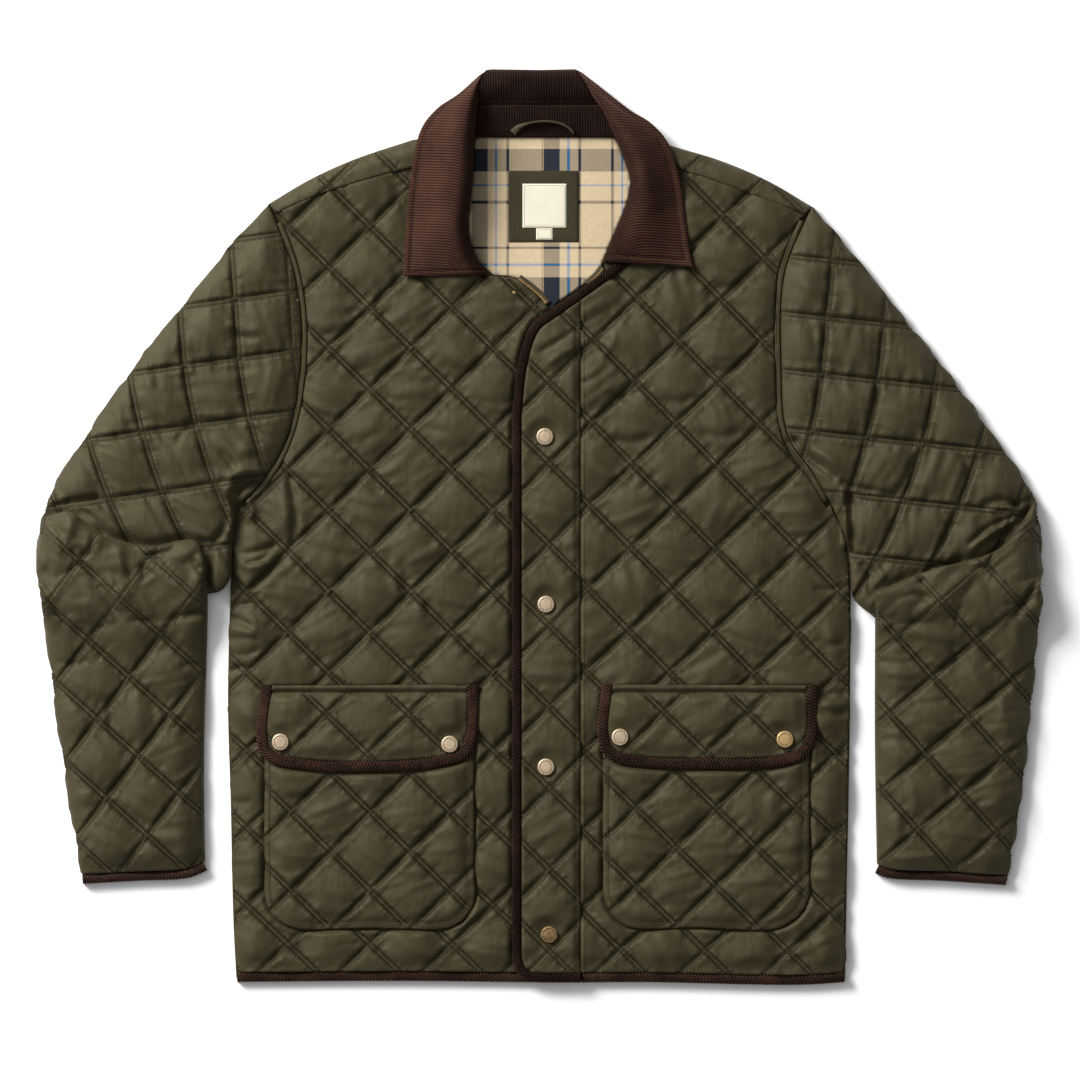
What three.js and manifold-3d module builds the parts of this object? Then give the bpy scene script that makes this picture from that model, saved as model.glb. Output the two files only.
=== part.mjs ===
// A man's quilted jacket laid flat, face up, on a level surface.
// Units are millimetres. X runs to the wearer's left, Y towards the collar and Z up from the surface.
// The origin is on the surface, under the middle of the laid-out jacket.
// "Right" and "left" are the wearer's, so the right front has negative X.

import * as THREE from "three";
import { mergeVertices } from "three/addons/utils/BufferGeometryUtils.js";
import Module from "manifold-3d";

const wasm = await Module();
wasm.setup();

// Driving sizes
const SEAM_GAP = 0.3;
const BACK_CLOTH = 3.6;
const FRONT_FLOOR = BACK_CLOTH + SEAM_GAP;
const SEAM_TOP = 8.2;
const PUFF = 5.6;
const PATCH_FLOOR = 8.2;
const PATCH_SEAM_TOP = 11.2;
const FLAP_FLOOR = 11.5;
const FLAP_SEAM_TOP = 14.6;
const PLACKET_FLOOR = 8.2;
const PLACKET_SEAM_TOP = 12;
const HEM_WIDTH = 9.2;
const BINDING_RISE = 5.6;
const SLEEVE_SEAM_TOP = 15;
const ELBOW_RISE = 8;
const ELBOW = { fromY: -130, reach: 80 };
const CUFF_DROP = 5;
const SLEEVE_SLIT = { low: 3.6, high: 5.8, wall: 8, past: 20, depth: 36 };
const COLLAR_CLOTH = 4;
const STAND_CLOTH = 3.4;
const NECK_EDGE = 5;
const SNAP_RADIUS = 7.8;
const CELL_STEPS = { fronts: 4, others: 3 };
const ABOVE_ALL = 90;

// How far in from an edge the cloth takes to round up to its full height
const ROUND = { bodySide: 26, shoulder: 14, pocket: 12, armhole: 26 };
const SLEEVE_ROUND = { outer: 34, inner: 16, forearm: 30, elbow: 22 };
// How far in from an edge or seam the quilting takes to reach its full swell
const FADE = { side: 22, armhole: 16, hem: 14, pocket: 18, flap: 14, sleeve: 24, cuff: 22 };
// The share of the full swell that is left right at an edge, under the collar and round a snap
const FLAT = { edge: 0.3, underCollar: 0.25, snap: 0.32 };
// Height of the cloth right at an outer edge
const EDGE_TOP = { body: FRONT_FLOOR + 1.4, shoulder: 5, pocket: PATCH_FLOOR + 1.8, sleeve: 6.5 };

// Cloth, rib cloth and metal
const CLOTH = new THREE.MeshStandardMaterial({ color: 0x4d4833, roughness: 0.62, metalness: 0 });
const RIB = new THREE.MeshStandardMaterial({ color: 0x4a3228, roughness: 0.9, metalness: 0 });
const CHECK = new THREE.MeshStandardMaterial({ color: 0xc2ae8c, roughness: 0.85, metalness: 0 });
const CREAM = new THREE.MeshStandardMaterial({ color: 0xd8cdb4, roughness: 0.8, metalness: 0 });
const TAPE = new THREE.MeshStandardMaterial({ color: 0x4f4a3a, roughness: 0.8, metalness: 0 });
const BRASS = new THREE.MeshStandardMaterial({ color: 0xb39a70, roughness: 0.35, metalness: 0.9 });

// Rows of a table, each under its column names
const table = (columns, ...rows) =>
  rows.map((row) => Object.fromEntries(columns.map((name, i) => [name, row[i]])));
const points = (...rows) => table(["x", "y"], ...rows);

// Outlines of the laid-out jacket, seen from above
const ARMHOLE_RIGHT = points([-249.5, 296], [-226.5, 233.5], [-219.5, 177.5], [-224.5, 114], [-236.5, 72.5],
  [-258.5, 37], [-279, 18.5]);
const SIDE_RIGHT = points([-279, 18.5], [-273, 0], [-281, -40], [-286, -105], [-287, -165], [-284.5, -252],
  [-282, -362.5], [-279, -419.5]);
const HEM = points([-279, -419.5], [-129, -418.5], [18.5, -420], [92, -419.5], [239, -422], [280.5, -419.5]);
const SIDE_LEFT = points([280.5, -419.5], [282, -335], [284.5, -206], [285, -86.5], [281, -28], [268.5, 19.5]);
const ARMHOLE_LEFT = points([268.5, 19.5], [249.5, 51.5], [228, 83.5], [222, 150], [225.5, 233.5], [250, 293.5]);
const SHOULDER_LEFT = points([250, 293.5], [209, 317.5], [165.5, 336], [120.5, 349.5]);
const SHOULDER_RIGHT = points([-117, 355], [-172, 336.5], [-211.5, 318.5], [-249.5, 296]);
const SEAM_RIGHT = points([-243, 287], [-200.5, 305.5], [-152, 320], [-76, 341]);
const SEAM_LEFT = points([89, 341], [130.5, 327.5], [184, 308.5], [244.5, 287]);
const NECK_LINE_Y = 358;
const STAND_SEAM_Y = 387;
const ROLL_TOP_Y = 419.5;
const TAB_EDGE = points([-46, 230], [-22, 227], [-3, 211.5], [12, 196]);
const RIGHT_FREE_EDGE_X = 27.5;
const PLACKET_SEAM_X = 37.5;
const PLACKET_TOP = points([60.5, 229.5], [37, 212.5], [9, 193], [-3, 184], [-10, 171], [-17, 143], [-21.4, 100]);
const PLACKET_CORNER = points([-21.4, -392], [-19.5, -404], [-12, -413], [0, -415.3]);

const UPPER_RIGHT = {
  outer: points([-249.5, 296], [-294.5, 244.5], [-355, 171], [-408.5, 97.5], [-453.5, 24], [-463, -20]),
  end: points([-463, -20], [-441.5, -48], [-386.5, -60.5], [-331, -66], [-304.5, -62.5]),
  inner: points([-304.5, -62.5], [-290, -51], [-283.5, -30], [-280, -8], [-279, 18.5]),
};
const FORE_RIGHT = {
  outer: points([-453.5, 21], [-463, -22], [-454.5, -105], [-434, -252], [-420.5, -329.5]),
  cuff: points([-420.5, -329.5], [-368, -326.5], [-324, -324], [-308, -317.5]),
  inner: points([-308, -317.5], [-309, -215.5], [-305.5, -68], [-306.5, -38.5]),
  fold: points([-306.5, -38.5], [-316.5, -14], [-359, -18.5], [-391, -12], [-418.5, 3.5], [-453.5, 21]),
};
const UPPER_LEFT = {
  outer: points([250, 293.5], [291.5, 244.5], [352.5, 171], [407.5, 97.5], [455.5, 24], [462, -31.5]),
  end: points([462, -31.5], [441.5, -59], [377, -79], [322, -90], [309, -85.5]),
  inner: points([309, -85.5], [288, -66], [286, -45], [281, -12], [268.5, 19.5]),
};
const FORE_LEFT = {
  outer: points([455.5, 24], [462, -40.5], [456.5, -123.5], [440.5, -270.5], [428.5, -330.5]),
  cuff: points([428.5, -330.5], [368, -326.5], [320, -324], [310, -320]),
  inner: points([310, -320], [308, -197], [308, -73.5], [307.5, -60.5]),
  fold: points([307.5, -60.5], [357, -41], [416, -24], [435, -7.5], [455.5, 24]),
};

// The collar's leaves, a row for each section from the point at the front to the top corner:
// the roll line beside the neck, then the outer edge
const LEAF_COLUMNS = ["rollX", "rollY", "rollZ", "edgeX", "edgeY", "edgeZ"];
const LEAF_RIGHT = table(LEAF_COLUMNS,
  [-48, 230, 20, -126, 229, 17],
  [-60, 250, 28, -125, 246, 17],
  [-66, 274, 33, -123.5, 268, 17],
  [-64, 297, 36, -122, 293, 17],
  [-62, 320, 38, -119, 318, 17],
  [-60.5, 345, 38, -115.5, 343, 16],
  [-59.5, 365, 37, -108, 367, 15],
  [-58, 385, 34, -94, 384, 14],
  [-56, 402, 31, -75, 397, 13],
  [-54, 414, 27, -58, 412, 13]);
const LEAF_LEFT = table(LEAF_COLUMNS,
  [58, 243, 20, 141, 237.5, 17],
  [65, 260, 28, 137, 257, 17],
  [74, 281, 33, 133, 285, 17],
  [81, 300, 36, 130, 309, 17],
  [83.5, 318, 38, 125, 331, 17],
  [77, 339, 38, 117, 353, 16],
  [68, 359, 37, 102, 370, 15],
  [58.5, 380, 34, 83, 382, 14],
  [48, 395, 31, 61, 399, 13],
  [38, 410, 27, 42, 414, 13]);

// Quilting: a lattice whose lines cross at a base point plus whole steps of two vectors
const LATTICE_COLUMNS = ["x", "y", "ax", "ay", "bx", "by"];
const [FRONT_RIGHT_QUILT, FRONT_LEFT_QUILT, PLACKET_QUILT, POCKET_RIGHT_QUILT, POCKET_LEFT_QUILT,
  FLAP_RIGHT_QUILT, FLAP_LEFT_QUILT, UPPER_RIGHT_QUILT, UPPER_LEFT_QUILT, FORE_RIGHT_QUILT,
  FORE_LEFT_QUILT] = table(LATTICE_COLUMNS,
  [-118.5, 14, 37.7, 37.3, 37.7, -37.3],
  [123.5, 17.5, 39.6, 37.7, 37.7, -38.6],
  [9, -17.5, 37.3, 37.3, 37.3, -37.3],
  [-155.5, -263, 36.5, 36.1, 36.5, -36.1],
  [162, -259.5, 36.8, 35.9, 36.8, -35.9],
  [-196, -173, 37.7, 36.8, 37.7, -36.8],
  [114, -171, 38.6, 37.7, 38.6, -37.7],
  [-327.5, 147, 50.6, 6.9, 3.7, -54.3],
  [311, 133.5, 52.4, -5.5, -5.1, -52.4],
  [-377, -139, 29.4, 38.6, 37.7, -34],
  [394, -175.5, 40, 33.6, 33.1, -36.8]);
const LOW_ROWS = { fromY: -135, shrink: 0.955 };
const SLEEVE_BEND = { rightAt: 171, leftAt: 150, curve: 0.0012 };

// Folds in the laid cloth: soft ridges and troughs from one end to the other, height in millimetres
const FOLD_COLUMNS = ["x1", "y1", "x2", "y2", "width", "height"];
const FRONT_FOLDS = table(FOLD_COLUMNS,
  [-233, 44, -237, -20, 9, 4],
  [-224, 60, -225, -18, 8, -3],
  [-267, -59, -230, -22, 9, -3],
  [268, 10, 266, -32, 9, 3],
  [240, 62, 262, 38, 10, -3],
  [64, 81, 104, 81, 10, -2.5],
  [112, 118, 152, 118, 11, -2.5],
  [140, 86, 188, 88, 10, -2.5],
  [-190, 30, -120, 6, 16, 2],
  [150, -70, 230, -110, 18, 2]);
const SLEEVE_FOLDS = table(FOLD_COLUMNS,
  [-270, 34, -244, 44, 8, 3],
  [-300, 20, -262, 62, 12, -3],
  [-420, 30, -330, 24, 14, 3],
  [-440, -60, -330, -48, 14, -3],
  [243, 76, 300, 36, 10, 3],
  [262, 40, 330, 26, 10, -3],
  [340, 10, 430, 22, 14, 3],
  [330, -80, 440, -66, 14, -3]);

// Snap caps and the stud: centre and half breadth
const SNAPS = table(["name", "x", "y"],
  ["snap_placket_1", 4.5, 82], ["snap_placket_2", 5.5, -72], ["snap_placket_3", 5.5, -221.5],
  ["snap_placket_4", 8.5, -375.5], ["snap_flap_right_1", -238.5, -198.5],
  ["snap_flap_right_2", -83, -200.5], ["snap_flap_left_1", 73.5, -194], ["snap_flap_left_2", 225, -196]);
const STUD = { x: -24.5, y: 213.5, radius: 5 };

// Small sums on points
const mix = (a, b, t) => a + (b - a) * t;
const clamp = (t) => Math.min(1, Math.max(0, t));
const smooth = (t) => clamp(t) * clamp(t) * (3 - 2 * clamp(t));
const reversed = (path) => [...path].reverse();
const last = (path) => path[path.length - 1];

// A smooth path through the rows of an outline, with a point about every step
function curve(rows, step = 17) {
  const line = new THREE.CatmullRomCurve3(rows.map((p) => new THREE.Vector3(p.x, p.y, 0)), false, "centripetal");
  const count = Math.max(2, Math.round(line.getLength() / step));
  return line.getSpacedPoints(count).map((p) => ({ x: p.x, y: p.y }));
}

// Distance from a place to the nearest point of a path
function distance(path, x, y) {
  let least = Infinity;
  for (let i = 0; i + 1 < path.length; i += 1) {
    const [a, b] = [path[i], path[i + 1]];
    const [dx, dy] = [b.x - a.x, b.y - a.y];
    const t = clamp(((x - a.x) * dx + (y - a.y) * dy) / (dx * dx + dy * dy));
    least = Math.min(least, Math.hypot(x - a.x - t * dx, y - a.y - t * dy));
  }
  return least;
}

// A path moved to its left by a distance, mitred at each point
function beside(path, offset, closed = false) {
  const count = path.length;
  return path.map((p, i) => {
    const before = closed ? path[(i + count - 1) % count] : path[Math.max(0, i - 1)];
    const after = closed ? path[(i + 1) % count] : path[Math.min(count - 1, i + 1)];
    const length = Math.hypot(after.x - before.x, after.y - before.y);
    const normal = { x: -(after.y - before.y) / length, y: (after.x - before.x) / length };
    const reach = typeof offset === "function" ? offset(i / (count - 1)) : offset;
    return { x: p.x + normal.x * reach, y: p.y + normal.y * reach };
  });
}

// An outline drawn in by half a seam gap, so that neighbours stay apart
function drawnIn(outline, gap = SEAM_GAP / 2) {
  const clean = outline.filter((p, i) => {
    const next = outline[(i + 1) % outline.length];
    return Math.hypot(p.x - next.x, p.y - next.y) > 0.5;
  });
  const turn = THREE.ShapeUtils.isClockWise(clean.map((p) => new THREE.Vector2(p.x, p.y))) ? -1 : 1;
  return beside(clean, gap * turn, true);
}

// Closed geometry to a solid for cutting and joining, and back
function solid(geometry) {
  const bare = geometry.clone();
  bare.deleteAttribute("normal");
  bare.deleteAttribute("uv");
  const merged = mergeVertices(bare, 1e-4);
  const vertProperties = new Float32Array(merged.attributes.position.array);
  const triVerts = new Uint32Array(merged.index.array);
  return new wasm.Manifold(new wasm.Mesh({ numProp: 3, vertProperties, triVerts }));
}
function geometryOf(body) {
  const mesh = body.getMesh();
  const geometry = new THREE.BufferGeometry();
  geometry.setAttribute("position", new THREE.BufferAttribute(new Float32Array(mesh.vertProperties), 3));
  geometry.setIndex(new THREE.BufferAttribute(new Uint32Array(mesh.triVerts), 1));
  return geometry;
}

// An upright prism over an outline
function prism(outline, low, high) {
  const shape = new THREE.Shape(outline.map((p) => new THREE.Vector2(p.x, p.y)));
  const geometry = new THREE.ExtrudeGeometry(shape, { depth: high - low, bevelEnabled: false });
  geometry.translate(0, 0, low);
  return solid(geometry);
}

// A disc, for snap seats
function disc(centre, radius, low, high, sides = 14) {
  const geometry = new THREE.CylinderGeometry(radius, radius, high - low, sides);
  geometry.rotateX(Math.PI / 2);
  geometry.translate(centre.x, centre.y, (low + high) / 2);
  return solid(geometry);
}

// A closed block from two grids of points, an upper and a lower one, rows by columns
function block(upper, lower) {
  const [rows, columns] = [upper.length, upper[0].length];
  const position = [...upper.flat(), ...lower.flat()].flatMap((p) => [p.x, p.y, p.z]);
  const half = rows * columns;
  const top = (r, c) => r * columns + c;
  const under = (r, c) => half + r * columns + c;
  const index = [];
  const quad = (a, b, c, d) => index.push(a, b, c, a, c, d);
  for (let r = 0; r + 1 < rows; r += 1) {
    for (let c = 0; c + 1 < columns; c += 1) {
      quad(top(r, c), top(r, c + 1), top(r + 1, c + 1), top(r + 1, c));
      quad(under(r, c), under(r + 1, c), under(r + 1, c + 1), under(r, c + 1));
    }
  }
  for (let c = 0; c + 1 < columns; c += 1) {
    quad(top(0, c + 1), top(0, c), under(0, c), under(0, c + 1));
    quad(top(rows - 1, c), top(rows - 1, c + 1), under(rows - 1, c + 1), under(rows - 1, c));
  }
  for (let r = 0; r + 1 < rows; r += 1) {
    quad(top(r, 0), top(r + 1, 0), under(r + 1, 0), under(r, 0));
    quad(top(r + 1, columns - 1), top(r, columns - 1), under(r, columns - 1), under(r + 1, columns - 1));
  }
  const geometry = new THREE.BufferGeometry();
  geometry.setAttribute("position", new THREE.BufferAttribute(new Float32Array(position), 3));
  geometry.setIndex(index);
  const body = solid(geometry);
  return body.volume() > 0 ? body : solid(turnedOut(geometry));
}
function turnedOut(geometry) {
  const index = geometry.index.array;
  for (let i = 0; i < index.length; i += 3) {
    [index[i], index[i + 1]] = [index[i + 1], index[i]];
  }
  return geometry;
}

// A strip of cloth along a path: its width lies across the path and its top is rounded.
// An upright strip has its width along Y, so that it meets a panel cut at the same height.
const STRIP_SECTION = table(["across", "up"], [-0.5, 0.55], [0, 1], [0.5, 0.55]);
function strip({ path, width, low, rise, section = STRIP_SECTION, upright = false }) {
  const value = (size, t) => (typeof size === "function" ? size(t) : size);
  const rings = path.map((p, i) => {
    const t = i / (path.length - 1);
    return section.map(({ across, up }) => {
      const offset = across * value(width, t);
      const q = upright ? { x: p.x, y: p.y + offset } : beside(path, offset)[i];
      return { x: q.x, y: q.y, z: value(low, t) + up * value(rise, t) };
    });
  });
  const floor = rings.map((ring, i) => ring.map((p) => ({ ...p, z: value(low, i / (path.length - 1)) })));
  return block(rings, floor);
}

// Quilting over an outline. The upper surface is raised between the stitch lines, and form
// gives the height of the lines and how full the cloth is at a place.
function place(quilt, u, v) {
  let x = quilt.x + u * quilt.ax + v * quilt.bx;
  let y = quilt.y + u * quilt.ay + v * quilt.by;
  if (quilt.lowRows && y < LOW_ROWS.fromY) {
    y = LOW_ROWS.fromY + (y - LOW_ROWS.fromY) * LOW_ROWS.shrink;
  }
  if (quilt.bendAt) {
    x += quilt.bendSide * SLEEVE_BEND.curve * Math.min(0, y - quilt.bendAt) ** 2;
  }
  return { x, y };
}
const swell = (u, v) => Math.sqrt(Math.abs(Math.sin(Math.PI * u) * Math.sin(Math.PI * v)));
function quilted(quilt, outline, form, low, steps = CELL_STEPS.others) {
  const det = quilt.ax * quilt.by - quilt.ay * quilt.bx;
  const us = outline.map((p) => ((p.x - quilt.x) * quilt.by - (p.y - quilt.y) * quilt.bx) / det);
  const vs = outline.map((p) => ((p.y - quilt.y) * quilt.ax - (p.x - quilt.x) * quilt.ay) / det);
  const range = (list) => [Math.floor(Math.min(...list)) - 2, Math.ceil(Math.max(...list)) + 2];
  const [[u0, u1], [v0, v1]] = [range(us), range(vs)];
  const upper = [];
  for (let r = 0; r <= (u1 - u0) * steps; r += 1) {
    const row = [];
    for (let c = 0; c <= (v1 - v0) * steps; c += 1) {
      const [u, v] = [u0 + r / steps, v0 + c / steps];
      const p = place(quilt, u, v);
      const { height, fullness } = form(p.x, p.y);
      row.push({ ...p, z: height + PUFF * fullness * swell(u, v) });
    }
    upper.push(row);
  }
  const lower = upper.map((row) => row.map((p) => ({ ...p, z: -1 })));
  return block(upper, lower).intersect(prism(drawnIn(outline), low, ABOVE_ALL));
}

// Height that the folds of a table add at a place
function folded(folds, x, y) {
  return folds.reduce((sum, f) => {
    const [dx, dy] = [f.x2 - f.x1, f.y2 - f.y1];
    const length = Math.hypot(dx, dy);
    const along = ((x - f.x1) * dx + (y - f.y1) * dy) / length;
    const aside = ((x - f.x1) * dy - (y - f.y1) * dx) / length;
    const end = Math.max(0, -along, along - length) / f.width;
    return sum + f.height * Math.exp(-((aside / f.width) ** 2) - end * end);
  }, 0);
}

// How far a surface has risen from a rounded edge, 0 at the edge and 1 from reach inwards
const rounded = (d, reach) => Math.sqrt(1 - (1 - clamp(d / reach)) ** 2);

// Shared paths
const armholeRight = curve(ARMHOLE_RIGHT);
const armholeLeft = curve(ARMHOLE_LEFT);
const sideRight = curve(SIDE_RIGHT, 34);
const sideLeft = curve(SIDE_LEFT, 34);
const hem = curve(HEM, 60);
const hemTop = hem.map((p) => ({ x: p.x, y: p.y + HEM_WIDTH }));
const tabEdge = curve(TAB_EDGE, 12);
const rollPath = (leaf) => leaf.map((row) => ({ x: row.rollX, y: row.rollY }));
const edgePath = (leaf) => leaf.map((row) => ({ x: row.edgeX, y: row.edgeY }));
const neckRight = beside(rollPath(LEAF_RIGHT).slice(0, 6), NECK_EDGE);
const neckLeft = beside(rollPath(LEAF_LEFT).slice(0, 6), -NECK_EDGE);

// Part of a path within a span of one coordinate
const between = (path, axis, low, high) => path.filter((p) => p[axis] > low && p[axis] < high);
const at = (path, axis, value) => {
  for (let i = 0; i + 1 < path.length; i += 1) {
    const t = (value - path[i][axis]) / (path[i + 1][axis] - path[i][axis]);
    if (t >= 0 && t <= 1) {
      return { x: mix(path[i].x, path[i + 1].x, t), y: mix(path[i].y, path[i + 1].y, t) };
    }
  }
  throw new Error("the path does not cross that value");
};

// The middle of the placket's binding: down the free edge, round the corner and along the hem
const hemMiddle = (x) => ({ x, y: at(hem, "x", x).y + HEM_WIDTH / 2 });
const placketEdge = [...curve(PLACKET_TOP, 13), ...curve(PLACKET_CORNER, 8), hemMiddle(PLACKET_SEAM_X - 0.5)];

// Body outlines
const WELT_WIDTH = 5.4;
const weltRight = beside(armholeRight, WELT_WIDTH / 2 + SEAM_GAP);
const weltLeft = beside(armholeLeft, WELT_WIDTH / 2 + SEAM_GAP);
const frontArmholeRight = beside(armholeRight, WELT_WIDTH + 2 * SEAM_GAP);
const frontArmholeLeft = beside(armholeLeft, WELT_WIDTH + 2 * SEAM_GAP);
const sideAboveHem = (side) => between(side, "y", -HEM_WIDTH - 405, 500);
const bodyOutline = [...armholeRight, ...sideAboveHem(sideRight), ...hemTop, ...sideAboveHem(sideLeft),
  ...armholeLeft, ...curve(SHOULDER_LEFT, 30), { x: 92, y: NECK_LINE_Y }, { x: -92, y: NECK_LINE_Y },
  ...curve(SHOULDER_RIGHT, 30)];
const placketInside = beside(placketEdge, HEM_WIDTH / 2);
const frontLeftTop = [at(placketInside, "x", PLACKET_SEAM_X),
  ...reversed(between(placketInside.slice(0, 8), "x", PLACKET_SEAM_X + 3, 90))];
const frontRightOutline = [...between(frontArmholeRight, "y", 15, 282), ...sideAboveHem(sideRight),
  ...between(hemTop, "x", -290, RIGHT_FREE_EDGE_X - 8), at(hemTop, "x", RIGHT_FREE_EDGE_X),
  { x: RIGHT_FREE_EDGE_X, y: 178 }, ...reversed(tabEdge), ...neckRight, ...reversed(curve(SEAM_RIGHT, 34))];
const frontLeftOutline = [...reversed(between(frontArmholeLeft, "y", 15, 282)),
  ...reversed(sideAboveHem(sideLeft)),
  ...reversed(between(hemTop, "x", PLACKET_SEAM_X + 4, 290)), at(hemTop, "x", PLACKET_SEAM_X),
  ...frontLeftTop, ...neckLeft, ...curve(SEAM_LEFT, 34)];
const placketOutline = [...between(placketInside, "x", -30, PLACKET_SEAM_X - 2),
  { x: PLACKET_SEAM_X, y: last(placketInside).y }, at(placketInside, "x", PLACKET_SEAM_X)];

// Pockets and flaps
const POCKET_RIGHT = points([-253, -150], [-253, -230], [-253, -307.5], [-250, -350], [-230, -368],
  [-155, -369.5], [-81, -368], [-62, -350], [-60.5, -307], [-60.5, -230], [-60.5, -150]);
const POCKET_LEFT = points([58, -150], [58, -230], [58, -307], [60.5, -347], [78, -367], [147, -369],
  [221, -369], [245, -348], [247.5, -307], [247.5, -230], [247.5, -150]);
const FLAP_RIGHT = points([-256, -145.5], [-260.5, -185], [-257.5, -208], [-244, -219], [-221, -223.5],
  [-165.5, -226.5], [-92, -221.5], [-66, -212.5], [-58, -192.5], [-56, -146]);
const FLAP_LEFT = points([57, -144.5], [52.5, -187.5], [56, -206], [69, -217], [92, -221.5], [147, -223.5],
  [221, -221], [244, -212.5], [254, -195], [255, -146.5]);
const BINDING_WIDTH = 9;
const pocketOutline = (rows) => curve(rows, 26);
const flapEdge = (rows) => curve(rows, 19);
const flapInside = (rows) => beside(flapEdge(rows), BINDING_WIDTH + SEAM_GAP);
const recess = (outline, floor) => prism(drawnIn(outline, -SEAM_GAP), floor, ABOVE_ALL);

// Forms of the two fronts: low at the sides, flat under the collar, pockets and armholes
const COLLAR_SHADE = { y: 225, halfWidth: 142 };
const fading = (d, reach) => mix(FLAT.edge, 1, smooth(d / reach));
function frontForm(side, armhole, pocket) {
  return (x, y) => {
    const fromSide = distance(side, x, y);
    const fromHem = y - HEM[0].y - HEM_WIDTH;
    const pressed = y > COLLAR_SHADE.y && Math.abs(x) < COLLAR_SHADE.halfWidth ? FLAT.underCollar : 1;
    const rise = rounded(fromSide + 1, ROUND.bodySide);
    const height = mix(EDGE_TOP.body, SEAM_TOP, rise) + folded(FRONT_FOLDS, x, y) * pressed;
    const fullness = pressed * fading(fromSide, FADE.side) * fading(distance(armhole, x, y), FADE.armhole)
      * fading(fromHem, FADE.hem) * fading(distance(pocket, x, y), FADE.hem);
    return { height: Math.max(EDGE_TOP.body, height), fullness };
  };
}
const formRight = frontForm(sideRight, armholeRight, pocketOutline(POCKET_RIGHT));
const formLeft = frontForm(sideLeft, armholeLeft, pocketOutline(POCKET_LEFT));

// The cloth is pulled down round a snap
const nearSnap = (x, y) => SNAPS.some((snap) => Math.hypot(x - snap.x, y - snap.y) < 2 * SNAP_RADIUS);
const pulledDown = (x, y) => (nearSnap(x, y) ? FLAT.snap : 1);

// The back lies flat on the surface
const makeBack = () => prism(drawnIn(bodyOutline), 0, BACK_CLOTH);

// Its top wraps over each shoulder to a seam on the front
function makeShoulder(silhouette, seam, quilt) {
  const outline = [...curve(silhouette, 20), ...curve(seam.map((p) => ({ x: p.x, y: p.y + SEAM_GAP / 2 })), 20)];
  const form = (x, y) => ({
    height: mix(EDGE_TOP.shoulder, SEAM_TOP + 2, rounded(distance(silhouette, x, y), ROUND.shoulder)),
    fullness: FLAT.edge,
  });
  return quilted(quilt, outline, form, FRONT_FLOOR);
}

// The right front: its free edge is pressed flat under the placket
function makeFrontRight() {
  const quilt = { ...FRONT_RIGHT_QUILT, lowRows: true };
  const underPlacket = [...beside(placketEdge, -HEM_WIDTH / 2 - SEAM_GAP).slice(2),
    { x: 60, y: -430 }, { x: 60, y: 214 }];
  const stud = disc(STUD, STUD.radius + SEAM_GAP, SEAM_TOP - 0.4, ABOVE_ALL);
  return quilted(quilt, frontRightOutline, formRight, FRONT_FLOOR, CELL_STEPS.fronts)
    .subtract(recess(pocketOutline(POCKET_RIGHT), PATCH_FLOOR - SEAM_GAP))
    .subtract(recess(flapEdge(FLAP_RIGHT), PATCH_FLOOR - SEAM_GAP))
    .subtract(prism(underPlacket, PLACKET_FLOOR - SEAM_GAP, ABOVE_ALL))
    .subtract(stud);
}
function makeFrontLeft() {
  const quilt = { ...FRONT_LEFT_QUILT, lowRows: true };
  return quilted(quilt, frontLeftOutline, formLeft, FRONT_FLOOR, CELL_STEPS.fronts)
    .subtract(recess(pocketOutline(POCKET_LEFT), PATCH_FLOOR - SEAM_GAP))
    .subtract(recess(flapEdge(FLAP_LEFT), PATCH_FLOOR - SEAM_GAP));
}

// The placket lies on the right front's edge and is sewn to the left front
const PLACKET_SWELL = 0.75;
function makePlacket() {
  const hemY = HEM[0].y + 2 * HEM_WIDTH;
  const form = (x, y) => ({
    height: PLACKET_SEAM_TOP,
    fullness: PLACKET_SWELL * fading(y - hemY, FADE.hem) * pulledDown(x, y),
  });
  return quilted(PLACKET_QUILT, placketOutline, form, PLACKET_FLOOR);
}

// Patch pockets and their flaps
const FLAP_SWELL = 0.8;
function makePocket(rows, quilt, flap) {
  const edge = pocketOutline(rows);
  const form = (x, y) => ({
    height: mix(EDGE_TOP.pocket, PATCH_SEAM_TOP, rounded(distance(edge, x, y), ROUND.pocket)),
    fullness: fading(distance(edge, x, y), FADE.pocket),
  });
  return quilted(quilt, edge, form, PATCH_FLOOR).subtract(recess(flapEdge(flap), FLAP_FLOOR - SEAM_GAP));
}
function makeFlap(rows, quilt) {
  const edge = flapInside(rows);
  const form = (x, y) => ({
    height: FLAP_SEAM_TOP,
    fullness: FLAP_SWELL * fading(distance(edge, x, y), FADE.flap) * pulledDown(x, y),
  });
  return quilted(quilt, edge, form, FLAP_FLOOR);
}
const makeFlapBinding = (rows) => strip({
  path: beside(flapEdge(rows), BINDING_WIDTH / 2), width: BINDING_WIDTH - SEAM_GAP, low: FLAP_FLOOR, rise: 5.4,
});

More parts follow.
